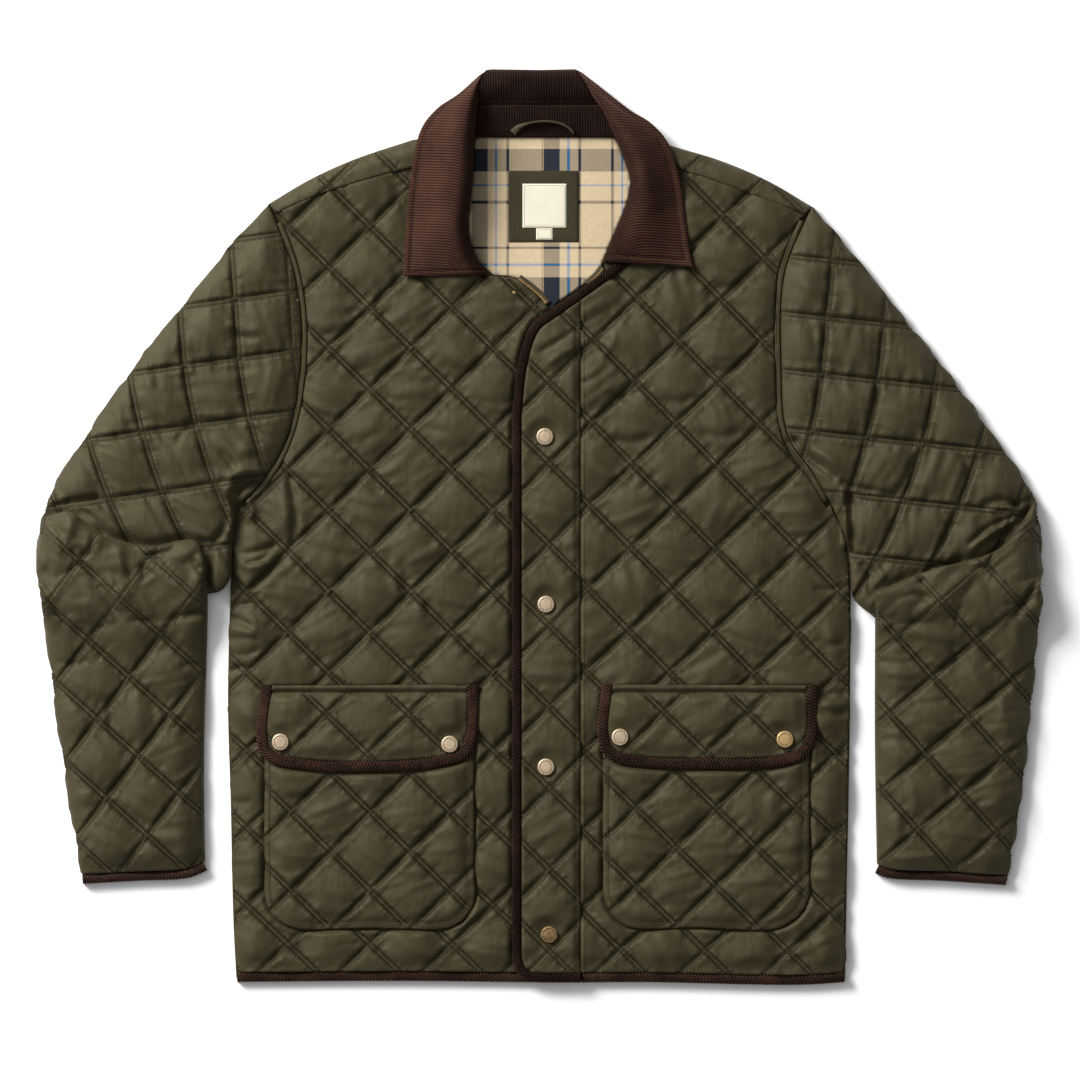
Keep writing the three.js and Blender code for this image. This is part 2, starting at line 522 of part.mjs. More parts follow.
// Sleeves: flattened tubes, open at the armhole and the cuff, with the forearm folded over the elbow
function makeSleeve({ upper, fore, armhole, upperQuilt, foreQuilt, bendAt, bendSide }) {
  const inner = curve(upper.inner);
  const outer = curve(upper.outer, 24);
  const upperOutline = [...outer, ...curve(upper.end, 24), ...inner, ...armhole];
  const upperForm = (x, y) => {
    const fromOuter = distance(outer, x, y);
    const fromArmhole = distance(armhole, x, y);
    const across = rounded(fromOuter, SLEEVE_ROUND.outer)
      * rounded(distance(inner, x, y) + 2, SLEEVE_ROUND.inner);
    return {
      height: mix(EDGE_TOP.sleeve, SLEEVE_SEAM_TOP, across * rounded(fromArmhole + 3, ROUND.armhole))
        + folded(SLEEVE_FOLDS, x, y),
      fullness: fading(fromOuter, FADE.sleeve) * fading(fromArmhole, FADE.armhole),
    };
  };
  const cuff = curve(fore.cuff, 30);
  const fold = curve(fore.fold, 20);
  const sides = [curve(fore.outer, 30), curve(fore.inner, 34)];
  const cuffTop = cuff.map((p) => ({ x: p.x, y: p.y + HEM_WIDTH }));
  const foreOutline = [...sides[0].filter((p) => p.y > last(cuffTop).y - 16), ...cuffTop,
    ...sides[1].filter((p) => p.y > last(cuffTop).y + 4), ...fold];
  const foreForm = (x, y) => {
    const fromSides = Math.min(distance(sides[0], x, y), distance(sides[1], x, y));
    const aboveCuff = y - cuffTop[0].y;
    const high = SLEEVE_SEAM_TOP + ELBOW_RISE * smooth((y - ELBOW.fromY) / ELBOW.reach)
      - CUFF_DROP * (1 - smooth(aboveCuff / FADE.cuff));
    const round = rounded(fromSides, SLEEVE_ROUND.forearm) * rounded(distance(fold, x, y) + 6, SLEEVE_ROUND.elbow);
    return {
      height: mix(EDGE_TOP.sleeve, high, round) + folded(SLEEVE_FOLDS, x, y),
      fullness: fading(fromSides, FADE.sleeve) * fading(aboveCuff, FADE.cuff),
    };
  };
  const bend = { bendAt, bendSide };
  const belowElbow = (path) => path.filter((p) => p.y < ELBOW.fromY + 20);
  const cuffSlitOutline = [...cuff.map((p) => ({ x: p.x, y: p.y - SLEEVE_SLIT.past })),
    ...belowElbow(sides[1]), ...belowElbow(sides[0])];
  const cuffSlit = prism(drawnIn(cuffSlitOutline, SLEEVE_SLIT.wall), SLEEVE_SLIT.low, SLEEVE_SLIT.high);
  const mouth = armhole.slice(3, -5);
  const outwards = Math.sign(mouth[0].x);
  const armSlitOutline = [...mouth.map((p) => ({ x: p.x - outwards * SLEEVE_SLIT.past, y: p.y })),
    ...reversed(mouth).map((p) => ({ x: p.x + outwards * SLEEVE_SLIT.depth, y: p.y }))];
  const armSlit = prism(armSlitOutline, SLEEVE_SLIT.low, SLEEVE_SLIT.high);
  return quilted({ ...upperQuilt, ...bend }, upperOutline, upperForm, 0)
    .add(quilted(foreQuilt, foreOutline, foreForm, 0))
    .subtract(armSlit)
    .subtract(cuffSlit);
}
const CUFF_BINDING_RISE = 10;
function makeCuffBinding(fore) {
  const cuff = curve(fore.cuff, 16);
  const path = cuff.map((p) => ({ x: p.x, y: p.y + HEM_WIDTH / 2 }));
  const mouth = drawnIn([...cuff.map((p) => ({ x: p.x, y: p.y - SLEEVE_SLIT.past })),
    ...reversed(cuff).map((p) => ({ x: p.x, y: p.y + SLEEVE_SLIT.past }))], SLEEVE_SLIT.wall);
  return strip({ path, width: HEM_WIDTH - SEAM_GAP, low: 0, rise: CUFF_BINDING_RISE, upright: true })
    .subtract(prism(mouth, SLEEVE_SLIT.low, SLEEVE_SLIT.high));
}

// Collar: a leaf falls from the roll beside the neck to its outer edge on the front
function leafGrid(leaf, lift) {
  const across = 6;
  return leaf.map((row) => Array.from({ length: across + 1 }, (unused, i) => {
    const t = i / across;
    const drop = (1 + Math.cos(Math.PI * t)) / 2;
    return {
      x: mix(row.rollX, row.edgeX, t),
      y: mix(row.rollY, row.edgeY, t),
      z: mix(row.edgeZ, row.rollZ, drop) + lift,
    };
  }));
}
const RIM_WIDTH = 6;
const BACK_ROLL = { low: 15, swell: 11, length: 42 };
function makeCollarFall(...beneath) {
  const [edgeRight, edgeLeft] = [edgePath(LEAF_RIGHT), edgePath(LEAF_LEFT)];
  const [rollRight, rollLeft] = [rollPath(LEAF_RIGHT), rollPath(LEAF_LEFT)];
  const cornerRight = edgeRight.slice(6);
  const cornerLeft = edgeLeft.slice(6);
  const leaves = [LEAF_RIGHT, LEAF_LEFT].map((leaf) => block(leafGrid(leaf, 0), leafGrid(leaf, -COLLAR_CLOTH)));
  const topEdge = points([-49, ROLL_TOP_Y], [0, ROLL_TOP_Y - 0.7], [32, ROLL_TOP_Y]);
  const under = prism([...cornerRight, ...topEdge, ...reversed(cornerLeft),
    { x: 98, y: NECK_LINE_Y + SEAM_GAP }, { x: -98, y: NECK_LINE_Y + SEAM_GAP }], 0, BACK_CLOTH);
  const rollOutline = [...rollRight.slice(8), ...topEdge, ...reversed(rollLeft.slice(8)),
    { x: 55, y: STAND_SEAM_Y }, { x: -58, y: STAND_SEAM_Y }];
  const rollForm = (x, y) => ({
    height: BACK_ROLL.low
      + BACK_ROLL.swell * Math.sin(Math.PI * Math.min(0.62, (y - STAND_SEAM_Y) / BACK_ROLL.length)),
    fullness: 0,
  });
  const roll = quilted({ x: 0, y: STAND_SEAM_Y, ax: 60, ay: 0, bx: 0, by: 26 }, rollOutline, rollForm, 0);
  const rim = (corner, side) => strip({
    path: beside(corner, side * (RIM_WIDTH / 2 + 0.2)), width: RIM_WIDTH, low: 0, rise: (t) => mix(15, 17, t),
  });
  let fall = leaves[0].add(leaves[1]).add(under).add(roll)
    .add(rim(cornerRight, -1)).add(rim(cornerLeft, 1));
  for (const body of beneath) {
    fall = fall.subtract(body.translate([0, 0, SEAM_GAP]));
  }
  return fall;
}

// The stand: an upright wall round the neck, leaning back behind it
const standHeight = (y) => 9 + 6 * clamp((y - NECK_LINE_Y) / (STAND_SEAM_Y - NECK_LINE_Y));
function makeCollarStand(fall) {
  const wall = (leaf, side) => strip({
    path: beside(rollPath(leaf).slice(0, 8), side * (STAND_CLOTH / 2 + 0.6)),
    width: STAND_CLOTH,
    low: FRONT_FLOOR,
    rise: (t) => mix(9.5, 28, smooth(t * 2.2)) - 5 * smooth((t - 0.7) / 0.3),
    section: table(["across", "up"], [-0.5, 1], [0.5, 1]),
  });
  const backOutline = [{ x: -61, y: NECK_LINE_Y }, { x: 70, y: NECK_LINE_Y },
    { x: 56, y: STAND_SEAM_Y - SEAM_GAP }, { x: -58, y: STAND_SEAM_Y - SEAM_GAP }];
  const lean = { x: 0, y: STAND_SEAM_Y, ax: 60, ay: 0, bx: 0, by: 26 };
  const back = quilted(lean, backOutline, (x, y) => ({ height: standHeight(y), fullness: 0 }), FRONT_FLOOR);
  return wall(LEAF_RIGHT, 1).add(wall(LEAF_LEFT, -1)).add(back)
    .subtract(fall.translate([0, 0, -SEAM_GAP])).subtract(fall);
}

// The checked lining shows only inside the neck
const LINING_TOP = FRONT_FLOOR + 1.2;
function makeLining() {
  const right = beside(rollPath(LEAF_RIGHT).slice(0, 7), -SEAM_GAP);
  const left = beside(rollPath(LEAF_LEFT).slice(0, 7), SEAM_GAP);
  const outline = [...between(right, "y", 238, NECK_LINE_Y - 4), { x: -59.2, y: NECK_LINE_Y - 1 },
    { x: 68, y: NECK_LINE_Y - 1 }, ...reversed(between(left, "y", 240, NECK_LINE_Y - 4)),
    { x: 53, y: 231 }, { x: 36, y: 219 }, { x: 14, y: 204 }, ...reversed(beside(tabEdge, 1)).slice(0, -1)];
  return prism(outline, FRONT_FLOOR, LINING_TOP);
}
const patch = (west, south, east, north, low, high) =>
  prism(points([west, south], [east, south], [east, north], [west, north]), low, high);
const PATCH_TOP = LINING_TOP + SEAM_GAP + 1;
const LABEL_TOP = PATCH_TOP + SEAM_GAP + 0.6;

// The hanger loop: a twisted tape, sewn in the neck seam, its crest standing on edge
const LOOP = points([-25, 361], [-20, 366], [-9, 370], [4.5, 371.5], [18.5, 369.5], [27, 365], [31, 361]);
const makeLoop = () => strip({
  path: curve(LOOP, 5),
  width: (t) => mix(6.5, 2.2, smooth(t * 3)),
  low: (t) => standHeight(LOOP[0].y) + 1.1 + 2.2 * Math.sin(Math.PI * t),
  rise: (t) => mix(2, 6.5, smooth(t * 3)),
});

// Snap caps are low domes with a rolled rim, sunk a little in the cloth
const CAP_PROFILE = table(["radius", "up"], [0, 0], [1, 0], [0.97, 0.55], [0.72, 0.86], [0, 1]);
function makeCap(radius, rise, low) {
  const profile = CAP_PROFILE.map((p) => new THREE.Vector2(p.radius * radius, p.up * rise));
  const geometry = new THREE.LatheGeometry(profile, 14);
  geometry.rotateX(Math.PI / 2);
  geometry.translate(0, 0, low);
  return geometry;
}

// Build each piece, then cut what one presses into another
const jacket = new THREE.Group();
function sew(name, geometry, material) {
  const mesh = new THREE.Mesh(geometry, material);
  mesh.name = name;
  jacket.add(mesh);
  return mesh;
}
const sewSolid = (name, body, material) => sew(name, geometryOf(body), material);

const back = makeBack();
const shoulderRight = makeShoulder(reversed(SHOULDER_RIGHT), reversed(SEAM_RIGHT), FRONT_RIGHT_QUILT);
const shoulderLeft = makeShoulder(reversed(SHOULDER_LEFT), reversed(SEAM_LEFT), FRONT_LEFT_QUILT);
const frontRight = makeFrontRight();
const frontLeft = makeFrontLeft();
let placket = makePlacket();
const pockets = {
  right: makePocket(POCKET_RIGHT, POCKET_RIGHT_QUILT, FLAP_RIGHT),
  left: makePocket(POCKET_LEFT, POCKET_LEFT_QUILT, FLAP_LEFT),
};
const flaps = { right: makeFlap(FLAP_RIGHT, FLAP_RIGHT_QUILT), left: makeFlap(FLAP_LEFT, FLAP_LEFT_QUILT) };
const bindings = { right: makeFlapBinding(FLAP_RIGHT), left: makeFlapBinding(FLAP_LEFT) };
const fall = makeCollarFall(frontRight, frontLeft, back, shoulderRight, shoulderLeft);

// Each snap sits in a shallow seat, its rim level with the stitched-down cloth round it
const seatOf = (name) => (name.includes("placket") ? PLACKET_SEAM_TOP : FLAP_SEAM_TOP) + 0.9;
for (const snap of SNAPS) {
  const low = seatOf(snap.name);
  const hole = disc(snap, SNAP_RADIUS + SEAM_GAP, low - SEAM_GAP, ABOVE_ALL);
  if (snap.name.includes("placket")) {
    placket = placket.subtract(hole);
  } else {
    const side = snap.name.includes("right") ? "right" : "left";
    flaps[side] = flaps[side].subtract(hole);
    bindings[side] = bindings[side].subtract(hole);
  }
  const cap = sew(snap.name, makeCap(SNAP_RADIUS, 3.4, 0), BRASS);
  cap.position.set(snap.x, snap.y, low);
}
const stud = sew("snap_stud", makeCap(STUD.radius, 3.6, 0), BRASS);
stud.position.set(STUD.x, STUD.y, SEAM_TOP - 0.4 + SEAM_GAP);

sewSolid("back", back, CLOTH);
sewSolid("shoulder_right", shoulderRight, CLOTH);
sewSolid("shoulder_left", shoulderLeft, CLOTH);
sewSolid("front_right", frontRight, CLOTH);
sewSolid("front_left", frontLeft, CLOTH);
sewSolid("placket", placket, CLOTH);
sewSolid("pocket_right", pockets.right, CLOTH);
sewSolid("pocket_left", pockets.left, CLOTH);
sewSolid("flap_right", flaps.right, CLOTH);
sewSolid("flap_left", flaps.left, CLOTH);
sewSolid("flap_binding_right", bindings.right, RIB);
sewSolid("flap_binding_left", bindings.left, RIB);

const sleeveRight = { upper: UPPER_RIGHT, fore: FORE_RIGHT, armhole: reversed(armholeRight),
  upperQuilt: UPPER_RIGHT_QUILT, foreQuilt: FORE_RIGHT_QUILT, bendAt: SLEEVE_BEND.rightAt, bendSide: 1 };
const sleeveLeft = { upper: UPPER_LEFT, fore: FORE_LEFT, armhole: armholeLeft,
  upperQuilt: UPPER_LEFT_QUILT, foreQuilt: FORE_LEFT_QUILT, bendAt: SLEEVE_BEND.leftAt, bendSide: -1 };
sewSolid("sleeve_right", makeSleeve(sleeveRight), CLOTH);
sewSolid("sleeve_left", makeSleeve(sleeveLeft), CLOTH);
sewSolid("cuff_binding_right", makeCuffBinding(FORE_RIGHT), RIB);
sewSolid("cuff_binding_left", makeCuffBinding(FORE_LEFT), RIB);

// Raised seam allowances round the armholes
const makeWelt = (path) => strip({
  path: between(path, "y", 20, 281), width: WELT_WIDTH, low: FRONT_FLOOR, rise: 6.6,
});
sewSolid("armhole_welt_right", makeWelt(weltRight), CLOTH);
sewSolid("armhole_welt_left", makeWelt(weltLeft), CLOTH);

// Rib cloth round the hems and the placket's edge
const hemLine = (west, east) =>
  [{ x: west }, ...between(hem, "x", west + 1, east - 1), { x: east }].map((p) => hemMiddle(p.x));
const hemStrip = (west, east, rise) => strip({
  path: hemLine(west, east), width: HEM_WIDTH - SEAM_GAP, low: FRONT_FLOOR, rise, upright: true,
});
sewSolid("hem_binding_right", hemStrip(HEM[0].x + 0.5, RIGHT_FREE_EDGE_X, 4), RIB);
sewSolid("hem_binding_left", hemStrip(PLACKET_SEAM_X + 0.5, last(HEM).x - 0.5, 5.2), RIB);
const backHem = prism(drawnIn([...hem, ...reversed(hemTop)]), 0, BACK_CLOTH);
sewSolid("hem_binding_back", backHem, RIB);
const placketBinding = strip({
  path: placketEdge, width: HEM_WIDTH - SEAM_GAP, low: PLACKET_FLOOR, rise: BINDING_RISE,
});
sewSolid("placket_binding", placketBinding, RIB);

sewSolid("collar_fall", fall, RIB);
sewSolid("collar_stand", makeCollarStand(fall), RIB);
sewSolid("hanger_loop", makeLoop(), TAPE);
sewSolid("neck_lining", makeLining(), CHECK);
sewSolid("label_patch", patch(-29, 261, 35.5, 326.5, LINING_TOP + SEAM_GAP, PATCH_TOP), CLOTH);
sewSolid("label", patch(-16, 274, 24.5, 314.5, PATCH_TOP + SEAM_GAP, LABEL_TOP), CREAM);
sewSolid("label_tab", patch(-3.5, 263, 12, 273.5, PATCH_TOP + SEAM_GAP, LABEL_TOP), CREAM);

// The ends of the zip tapes that show at the neck
const ZIP_RIGHT = points([-19, 229], [-9, 221.5], [1, 213], [8, 205]);
const ZIP_LEFT = points([57, 238.5], [50, 230], [42, 223.5]);
const makeTape = (rows) => strip({ path: curve(rows, 8), width: 5, low: LINING_TOP + SEAM_GAP, rise: 2.4 });
sewSolid("zip_tape_right", makeTape(ZIP_RIGHT), TAPE);
sewSolid("zip_tape_left", makeTape(ZIP_LEFT), TAPE);

export default jacket;
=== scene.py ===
"""A man's quilted jacket, laid flat and face up on a white table, seen from straight above.

Outlines are in millimetres, as a cutter would mark them; meshes are made in metres.
Right and left are the wearer's, so the right front is at negative X. Z is up from the table.
"""
import math

import bmesh
import bpy
import numpy as np
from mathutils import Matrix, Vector


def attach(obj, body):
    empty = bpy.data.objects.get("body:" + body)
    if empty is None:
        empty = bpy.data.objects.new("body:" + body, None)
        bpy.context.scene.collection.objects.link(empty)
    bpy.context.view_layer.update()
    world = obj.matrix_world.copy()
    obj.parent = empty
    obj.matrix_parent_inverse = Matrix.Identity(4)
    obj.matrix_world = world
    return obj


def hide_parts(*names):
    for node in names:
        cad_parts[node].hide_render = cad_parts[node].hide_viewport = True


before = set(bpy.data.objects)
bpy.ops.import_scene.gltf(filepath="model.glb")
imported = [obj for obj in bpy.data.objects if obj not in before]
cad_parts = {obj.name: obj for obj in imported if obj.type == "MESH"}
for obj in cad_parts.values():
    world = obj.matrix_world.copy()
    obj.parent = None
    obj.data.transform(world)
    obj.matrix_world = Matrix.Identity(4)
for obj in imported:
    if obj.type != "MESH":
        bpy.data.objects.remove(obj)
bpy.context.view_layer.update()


# The studio: a white table, a big soft light from the upper left and a long lens straight above.
# One millimetre of the jacket is 1 / 0.92 pixel of the 1080-pixel picture.
MM = 0.001
PICTURE_WIDTH = 1080 * 0.92
LENS_HEIGHT = 9000
TABLE_SIZE = 9.0


def rows_of(columns, *rows):
    """Rows of a table, each under its column names."""
    return [dict(zip(columns.split(), row)) for row in rows]


def add_camera():
    data = bpy.data.cameras.new("overhead")
    data.lens = 50
    data.sensor_width = 50 * PICTURE_WIDTH / LENS_HEIGHT
    data.clip_end = 50
    camera = bpy.data.objects.new("overhead", data)
    bpy.context.scene.collection.objects.link(camera)
    camera.location = (0, -13 * MM, LENS_HEIGHT * MM)
    bpy.context.scene.camera = camera


def add_area_light(name, place, size, power, aim=(0, 0, 0), colour=(1, 1, 1)):
    data = bpy.data.lights.new(name, "AREA")
    data.shape = "RECTANGLE"
    data.size, data.size_y = size
    data.energy = power
    data.color = colour
    light = bpy.data.objects.new(name, data)
    bpy.context.scene.collection.objects.link(light)
    light.location = place
    light.rotation_euler = (Vector(aim) - Vector(place)).to_track_quat("-Z", "Y").to_euler()


def add_table():
    bm = bmesh.new()
    bmesh.ops.create_grid(bm, x_segments=1, y_segments=1, size=TABLE_SIZE / 2)
    mesh = bpy.data.meshes.new("table_top")
    bm.to_mesh(mesh)
    bm.free()
    table = bpy.data.objects.new("table_top", mesh)
    bpy.context.scene.collection.objects.link(table)
    white = bpy.data.materials.new("table_white")
    white.use_nodes = True
    shader = white.node_tree.nodes["Principled BSDF"]
    shader.inputs["Base Color"].default_value = (0.9, 0.9, 0.9, 1)
    shader.inputs["Roughness"].default_value = 0.9
    shader.inputs["Specular IOR Level"].default_value = 0.1
    mesh.materials.append(white)


add_camera()
add_area_light("window", (-3.3, 2.9, 2.75), (2.5, 2.0), 520)
add_area_light("ceiling", (-1.6, 1.2, 3.2), (3.0, 3.0), 22)
add_table()
world = bpy.data.worlds.new("studio")
bpy.context.scene.world = world
world.use_nodes = True
world.node_tree.nodes["Background"].inputs["Color"].default_value = (1, 1, 1, 1)
world.node_tree.nodes["Background"].inputs["Strength"].default_value = 0.36
bpy.context.scene.view_settings.view_transform = "Standard"


# The back: one quilted panel on the table that wraps over both shoulders to a seam on the front.
# Shell, wadding and lining are quilted together, then cut to the outline and sewn.
SEAM_GAP = 0.3
BACK_CLOTH = 3.6
FRONT_FLOOR = BACK_CLOTH + SEAM_GAP
SEAM_TOP = 8.2
PUFF = 8.0
HEM_WIDTH = 9.2
NECK_LINE_Y = 358
ARMHOLE_RIGHT = [(-249.5, 296), (-226.5, 233.5), (-219.5, 177.5), (-224.5, 114), (-236.5, 72.5),
                 (-258.5, 37), (-279, 18.5)]
SIDE_RIGHT = [(-279, 18.5), (-280, 0), (-282.4, -24), (-284, -45), (-286, -105), (-287, -165), (-284.5, -252),
              (-282, -362.5), (-279, -419.5)]
HEM = [(-279, -419.5), (-129, -418.5), (18.5, -420), (92, -419.5), (239, -422), (280.5, -419.5)]
SIDE_LEFT = [(280.5, -419.5), (282, -335), (284.5, -206), (285.5, -86.5), (285.5, -60), (284.5, -40),
             (280, -10), (268.5, 19.5)]
ARMHOLE_LEFT = [(268.5, 19.5), (249.5, 51.5), (228, 83.5), (222, 150), (225.5, 233.5), (250, 293.5)]
SHOULDER_LEFT = [(250, 293.5), (209, 317.5), (165.5, 336), (120.5, 349.5)]
SHOULDER_RIGHT = [(-117, 355), (-172, 336.5), (-211.5, 318.5), (-249.5, 296)]
SEAM_RIGHT = [(-243, 287), (-200.5, 305.5), (-152, 320), (-76, 341)]
SEAM_LEFT = [(89, 341), (130.5, 327.5), (184, 308.5), (244.5, 287)]


def mix(a, b, t):
    return a + (b - a) * t


def smooth(t):
    t = np.clip(t, 0, 1)
    return t * t * (3 - 2 * t)


def rounded(distance, reach):
    """0 at an edge, rounding up to 1 at reach inwards."""
    return np.sqrt(1 - (1 - np.clip(distance / reach, 0, 1)) ** 2)


def curve(points, step=4.0):
    """A smooth path through marked points: a centripetal Catmull-Rom spline, evenly spaced."""
    p = np.array(points, float)
    p = np.vstack([2 * p[0] - p[1], p, 2 * p[-1] - p[-2]])
    knots = np.concatenate([[0], np.cumsum(np.linalg.norm(np.diff(p, axis=0), axis=1) ** 0.5)])
    line = []
    for i in range(1, len(p) - 2):
        t = np.linspace(knots[i], knots[i + 1], 24, endpoint=False)[:, None]
        k = knots[i - 1:i + 3]
        a1 = ((k[1] - t) * p[i - 1] + (t - k[0]) * p[i]) / (k[1] - k[0])
        a2 = ((k[2] - t) * p[i] + (t - k[1]) * p[i + 1]) / (k[2] - k[1])
        a3 = ((k[3] - t) * p[i + 1] + (t - k[2]) * p[i + 2]) / (k[3] - k[2])
        b1 = ((k[2] - t) * a1 + (t - k[0]) * a2) / (k[2] - k[0])
        b2 = ((k[3] - t) * a2 + (t - k[1]) * a3) / (k[3] - k[1])
        line.append(((k[2] - t) * b1 + (t - k[1]) * b2) / (k[2] - k[1]))
    return respaced(np.vstack(line + [p[-2:-1]]), step)


def respaced(path, step):
    path = np.array(path, float)
    along = np.concatenate([[0], np.cumsum(np.linalg.norm(np.diff(path, axis=0), axis=1))])
    places = np.linspace(0, along[-1], max(2, round(along[-1] / step)) + 1)
    return np.column_stack([np.interp(places, along, path[:, k]) for k in range(path.shape[1])])


def beside(path, offset):
    """A path moved to its left."""
    path = np.array(path, float)
    run = np.gradient(path, axis=0)
    run /= np.linalg.norm(run, axis=1)[:, None]
    return path + np.column_stack([-run[:, 1], run[:, 0]]) * np.reshape(offset, (-1, 1))


def nearest(path, x, y):
    """Distance from each place to a path, and the path's nearest point."""
    least = np.full(x.shape, np.inf)
    point = np.zeros(x.shape + (2,))
    for (ax, ay), (bx, by) in zip(path[:-1], path[1:]):
        dx, dy = bx - ax, by - ay
        t = np.clip(((x - ax) * dx + (y - ay) * dy) / max(dx * dx + dy * dy, 1e-9), 0, 1)
        px, py = ax + t * dx, ay + t * dy
        d = np.hypot(x - px, y - py)
        closer = d < least
        least = np.where(closer, d, least)
        point[..., 0] = np.where(closer, px, point[..., 0])
        point[..., 1] = np.where(closer, py, point[..., 1])
    return least, point


def distance(path, x, y):
    return nearest(path, x, y)[0]


def inside(outline, x, y):
    """Which places are inside a closed outline."""
    odd = np.zeros(x.shape, bool)
    for (ax, ay), (bx, by) in zip(outline, np.roll(outline, -1, axis=0)):
        if ay == by:
            continue
        crosses = ((ay > y) != (by > y)) & (x < (bx - ax) * (y - ay) / (by - ay) + ax)
        odd ^= crosses
    return odd


def soft_noise(x, y, seed=0.0):
    """Smooth noise from -1 to 1, the same at the same place on each run."""
    xi, yi = np.floor(x), np.floor(y)
    fx, fy = smooth(x - xi), smooth(y - yi)

    def corner(i, j):
        n = np.sin((xi + i) * 127.1 + (yi + j) * 311.7 + seed * 74.7) * 43758.5453
        return 2 * (n - np.floor(n)) - 1

    return mix(mix(corner(0, 0), corner(1, 0), fx), mix(corner(0, 1), corner(1, 1), fx), fy)


# Where the quilting machine's lines cross: a base point and the steps to the next crossings
QUILT_COLUMNS = "x y ax ay bx by"
QUILTS = dict(zip(
    "front_right front_left placket pocket_right pocket_left flap_right flap_left "
    "upper_right upper_left fore_right fore_left".split(),
    rows_of(QUILT_COLUMNS,
            (-118.5, 14, 37.7, 37.3, 37.7, -37.3), (123.5, 17.5, 39.6, 37.7, 37.7, -38.6),
            (9, -17.5, 37.3, 37.3, 37.3, -37.3), (-155.5, -263, 36.5, 36.1, 36.5, -36.1),
            (162, -259.5, 36.8, 35.9, 36.8, -35.9), (-196, -173, 37.7, 36.8, 37.7, -36.8),
            (114, -171, 38.6, 37.7, 38.6, -37.7), (-327.5, 147, 50.6, 6.9, 3.7, -54.3),
            (311, 133.5, 52.4, -5.5, -5.1, -52.4), (-377, -139, 29.4, 38.6, 37.7, -34),
            (394, -175.5, 40, 33.6, 33.1, -36.8))))
LOW_ROWS = {"from_y": -135, "shrink": 0.955}
SLEEVE_CURVE = 0.0012
# Grid rows from a stitch line to the middle of a diamond, in millimetres: close where it is sewn
HALF_CELL = [0, 1.1, 2.2, 3.4, 5, 6.8, 8.7, 10.7, 12.7, 14.8, 17, 19.3, 21.7, 24.2]
STITCH_ROW = 2.0


def quilt_place(quilt, u, v):
    """Where lattice coordinates lie on the table."""
    x = quilt["x"] + u * quilt["ax"] + v * quilt["bx"]
    y = quilt["y"] + u * quilt["ay"] + v * quilt["by"]
    if quilt.get("low_rows"):
        y = np.where(y < LOW_ROWS["from_y"], LOW_ROWS["from_y"] + (y - LOW_ROWS["from_y"]) * LOW_ROWS["shrink"], y)
    if quilt.get("bend"):
        x = x + quilt["bend"] * SLEEVE_CURVE * np.minimum(0, y - quilt["bend_y"]) ** 2
    return x, y


def quilt_coordinates(quilt, x, y):
    """Lattice coordinates of a place on the table."""
    if quilt.get("bend"):
        x = x - quilt["bend"] * SLEEVE_CURVE * np.minimum(0, y - quilt["bend_y"]) ** 2
    if quilt.get("low_rows"):
        y = np.where(y < LOW_ROWS["from_y"], LOW_ROWS["from_y"] + (y - LOW_ROWS["from_y"]) / LOW_ROWS["shrink"], y)
    det = quilt["ax"] * quilt["by"] - quilt["ay"] * quilt["bx"]
    dx, dy = x - quilt["x"], y - quilt["y"]
    return (dx * quilt["by"] - dy * quilt["bx"]) / det, (dy * quilt["ax"] - dx * quilt["ay"]) / det


def cell_sizes(quilt):
    return math.hypot(quilt["ax"], quilt["ay"]), math.hypot(quilt["bx"], quilt["by"])


def from_line(t, size):
    """Distance in millimetres to the nearest stitch line, and that line's number."""
    line = np.round(t)
    return np.abs(t - line) * size, line


def quilting(quilt, u, v, seed):
    """Height that quilting adds: swollen diamonds, pressed seams, and puckers drawn in by the thread."""
    size_u, size_v = cell_sizes(quilt)
    du, line_u = from_line(u, size_u)
    dv, line_v = from_line(v, size_v)
    cell = soft_noise(np.floor(u) * 3.1, np.floor(v) * 5.3, seed)
    swell_u = rounded(du - STITCH_ROW * 0.9, size_u / 2)
    swell_v = rounded(dv - STITCH_ROW * 0.9, size_v / 2)
    body = PUFF * (1 + 0.14 * cell) * swell_u * swell_v
    near_u = du / 4.2 * np.exp(1 - du / 4.2)
    near_v = dv / 4.2 * np.exp(1 - dv / 4.2)
    pucker = near_u * (soft_noise(v * size_v / 5.6, line_u * 7.7, seed + 3)
                       + 0.7 * soft_noise(v * size_v / 10.5, line_u * 3.3, seed + 5))
    pucker += near_v * (soft_noise(u * size_u / 5.6, line_v * 7.7, seed + 11)
                        + 0.7 * soft_noise(u * size_u / 10.5, line_v * 3.3, seed + 13))
    off_seam = smooth((np.minimum(du, dv) - STITCH_ROW) / 5)
    turn = 1.1 + 1.3 * soft_noise(np.floor(u) * 2.3, np.floor(v) * 1.7, seed + 17)
    along = (u * np.cos(turn) + v * np.sin(turn)) * size_u
    across = (v * np.cos(turn) - u * np.sin(turn)) * size_v
    crease = soft_noise(across / 8.5, along / 34, seed + 19) + 0.5 * soft_noise(across / 4.6, along / 22, seed + 23)
    between_rows = 0.35 * (np.exp(-(du / 1.1) ** 2) + np.exp(-(dv / 1.1) ** 2))
    sunk = -0.7 * (np.exp(-((du - STITCH_ROW) / 0.8) ** 2) + np.exp(-((dv - STITCH_ROW) / 0.8) ** 2))
    return body + 1.0 * pucker + 1.25 * off_seam * crease + between_rows + sunk


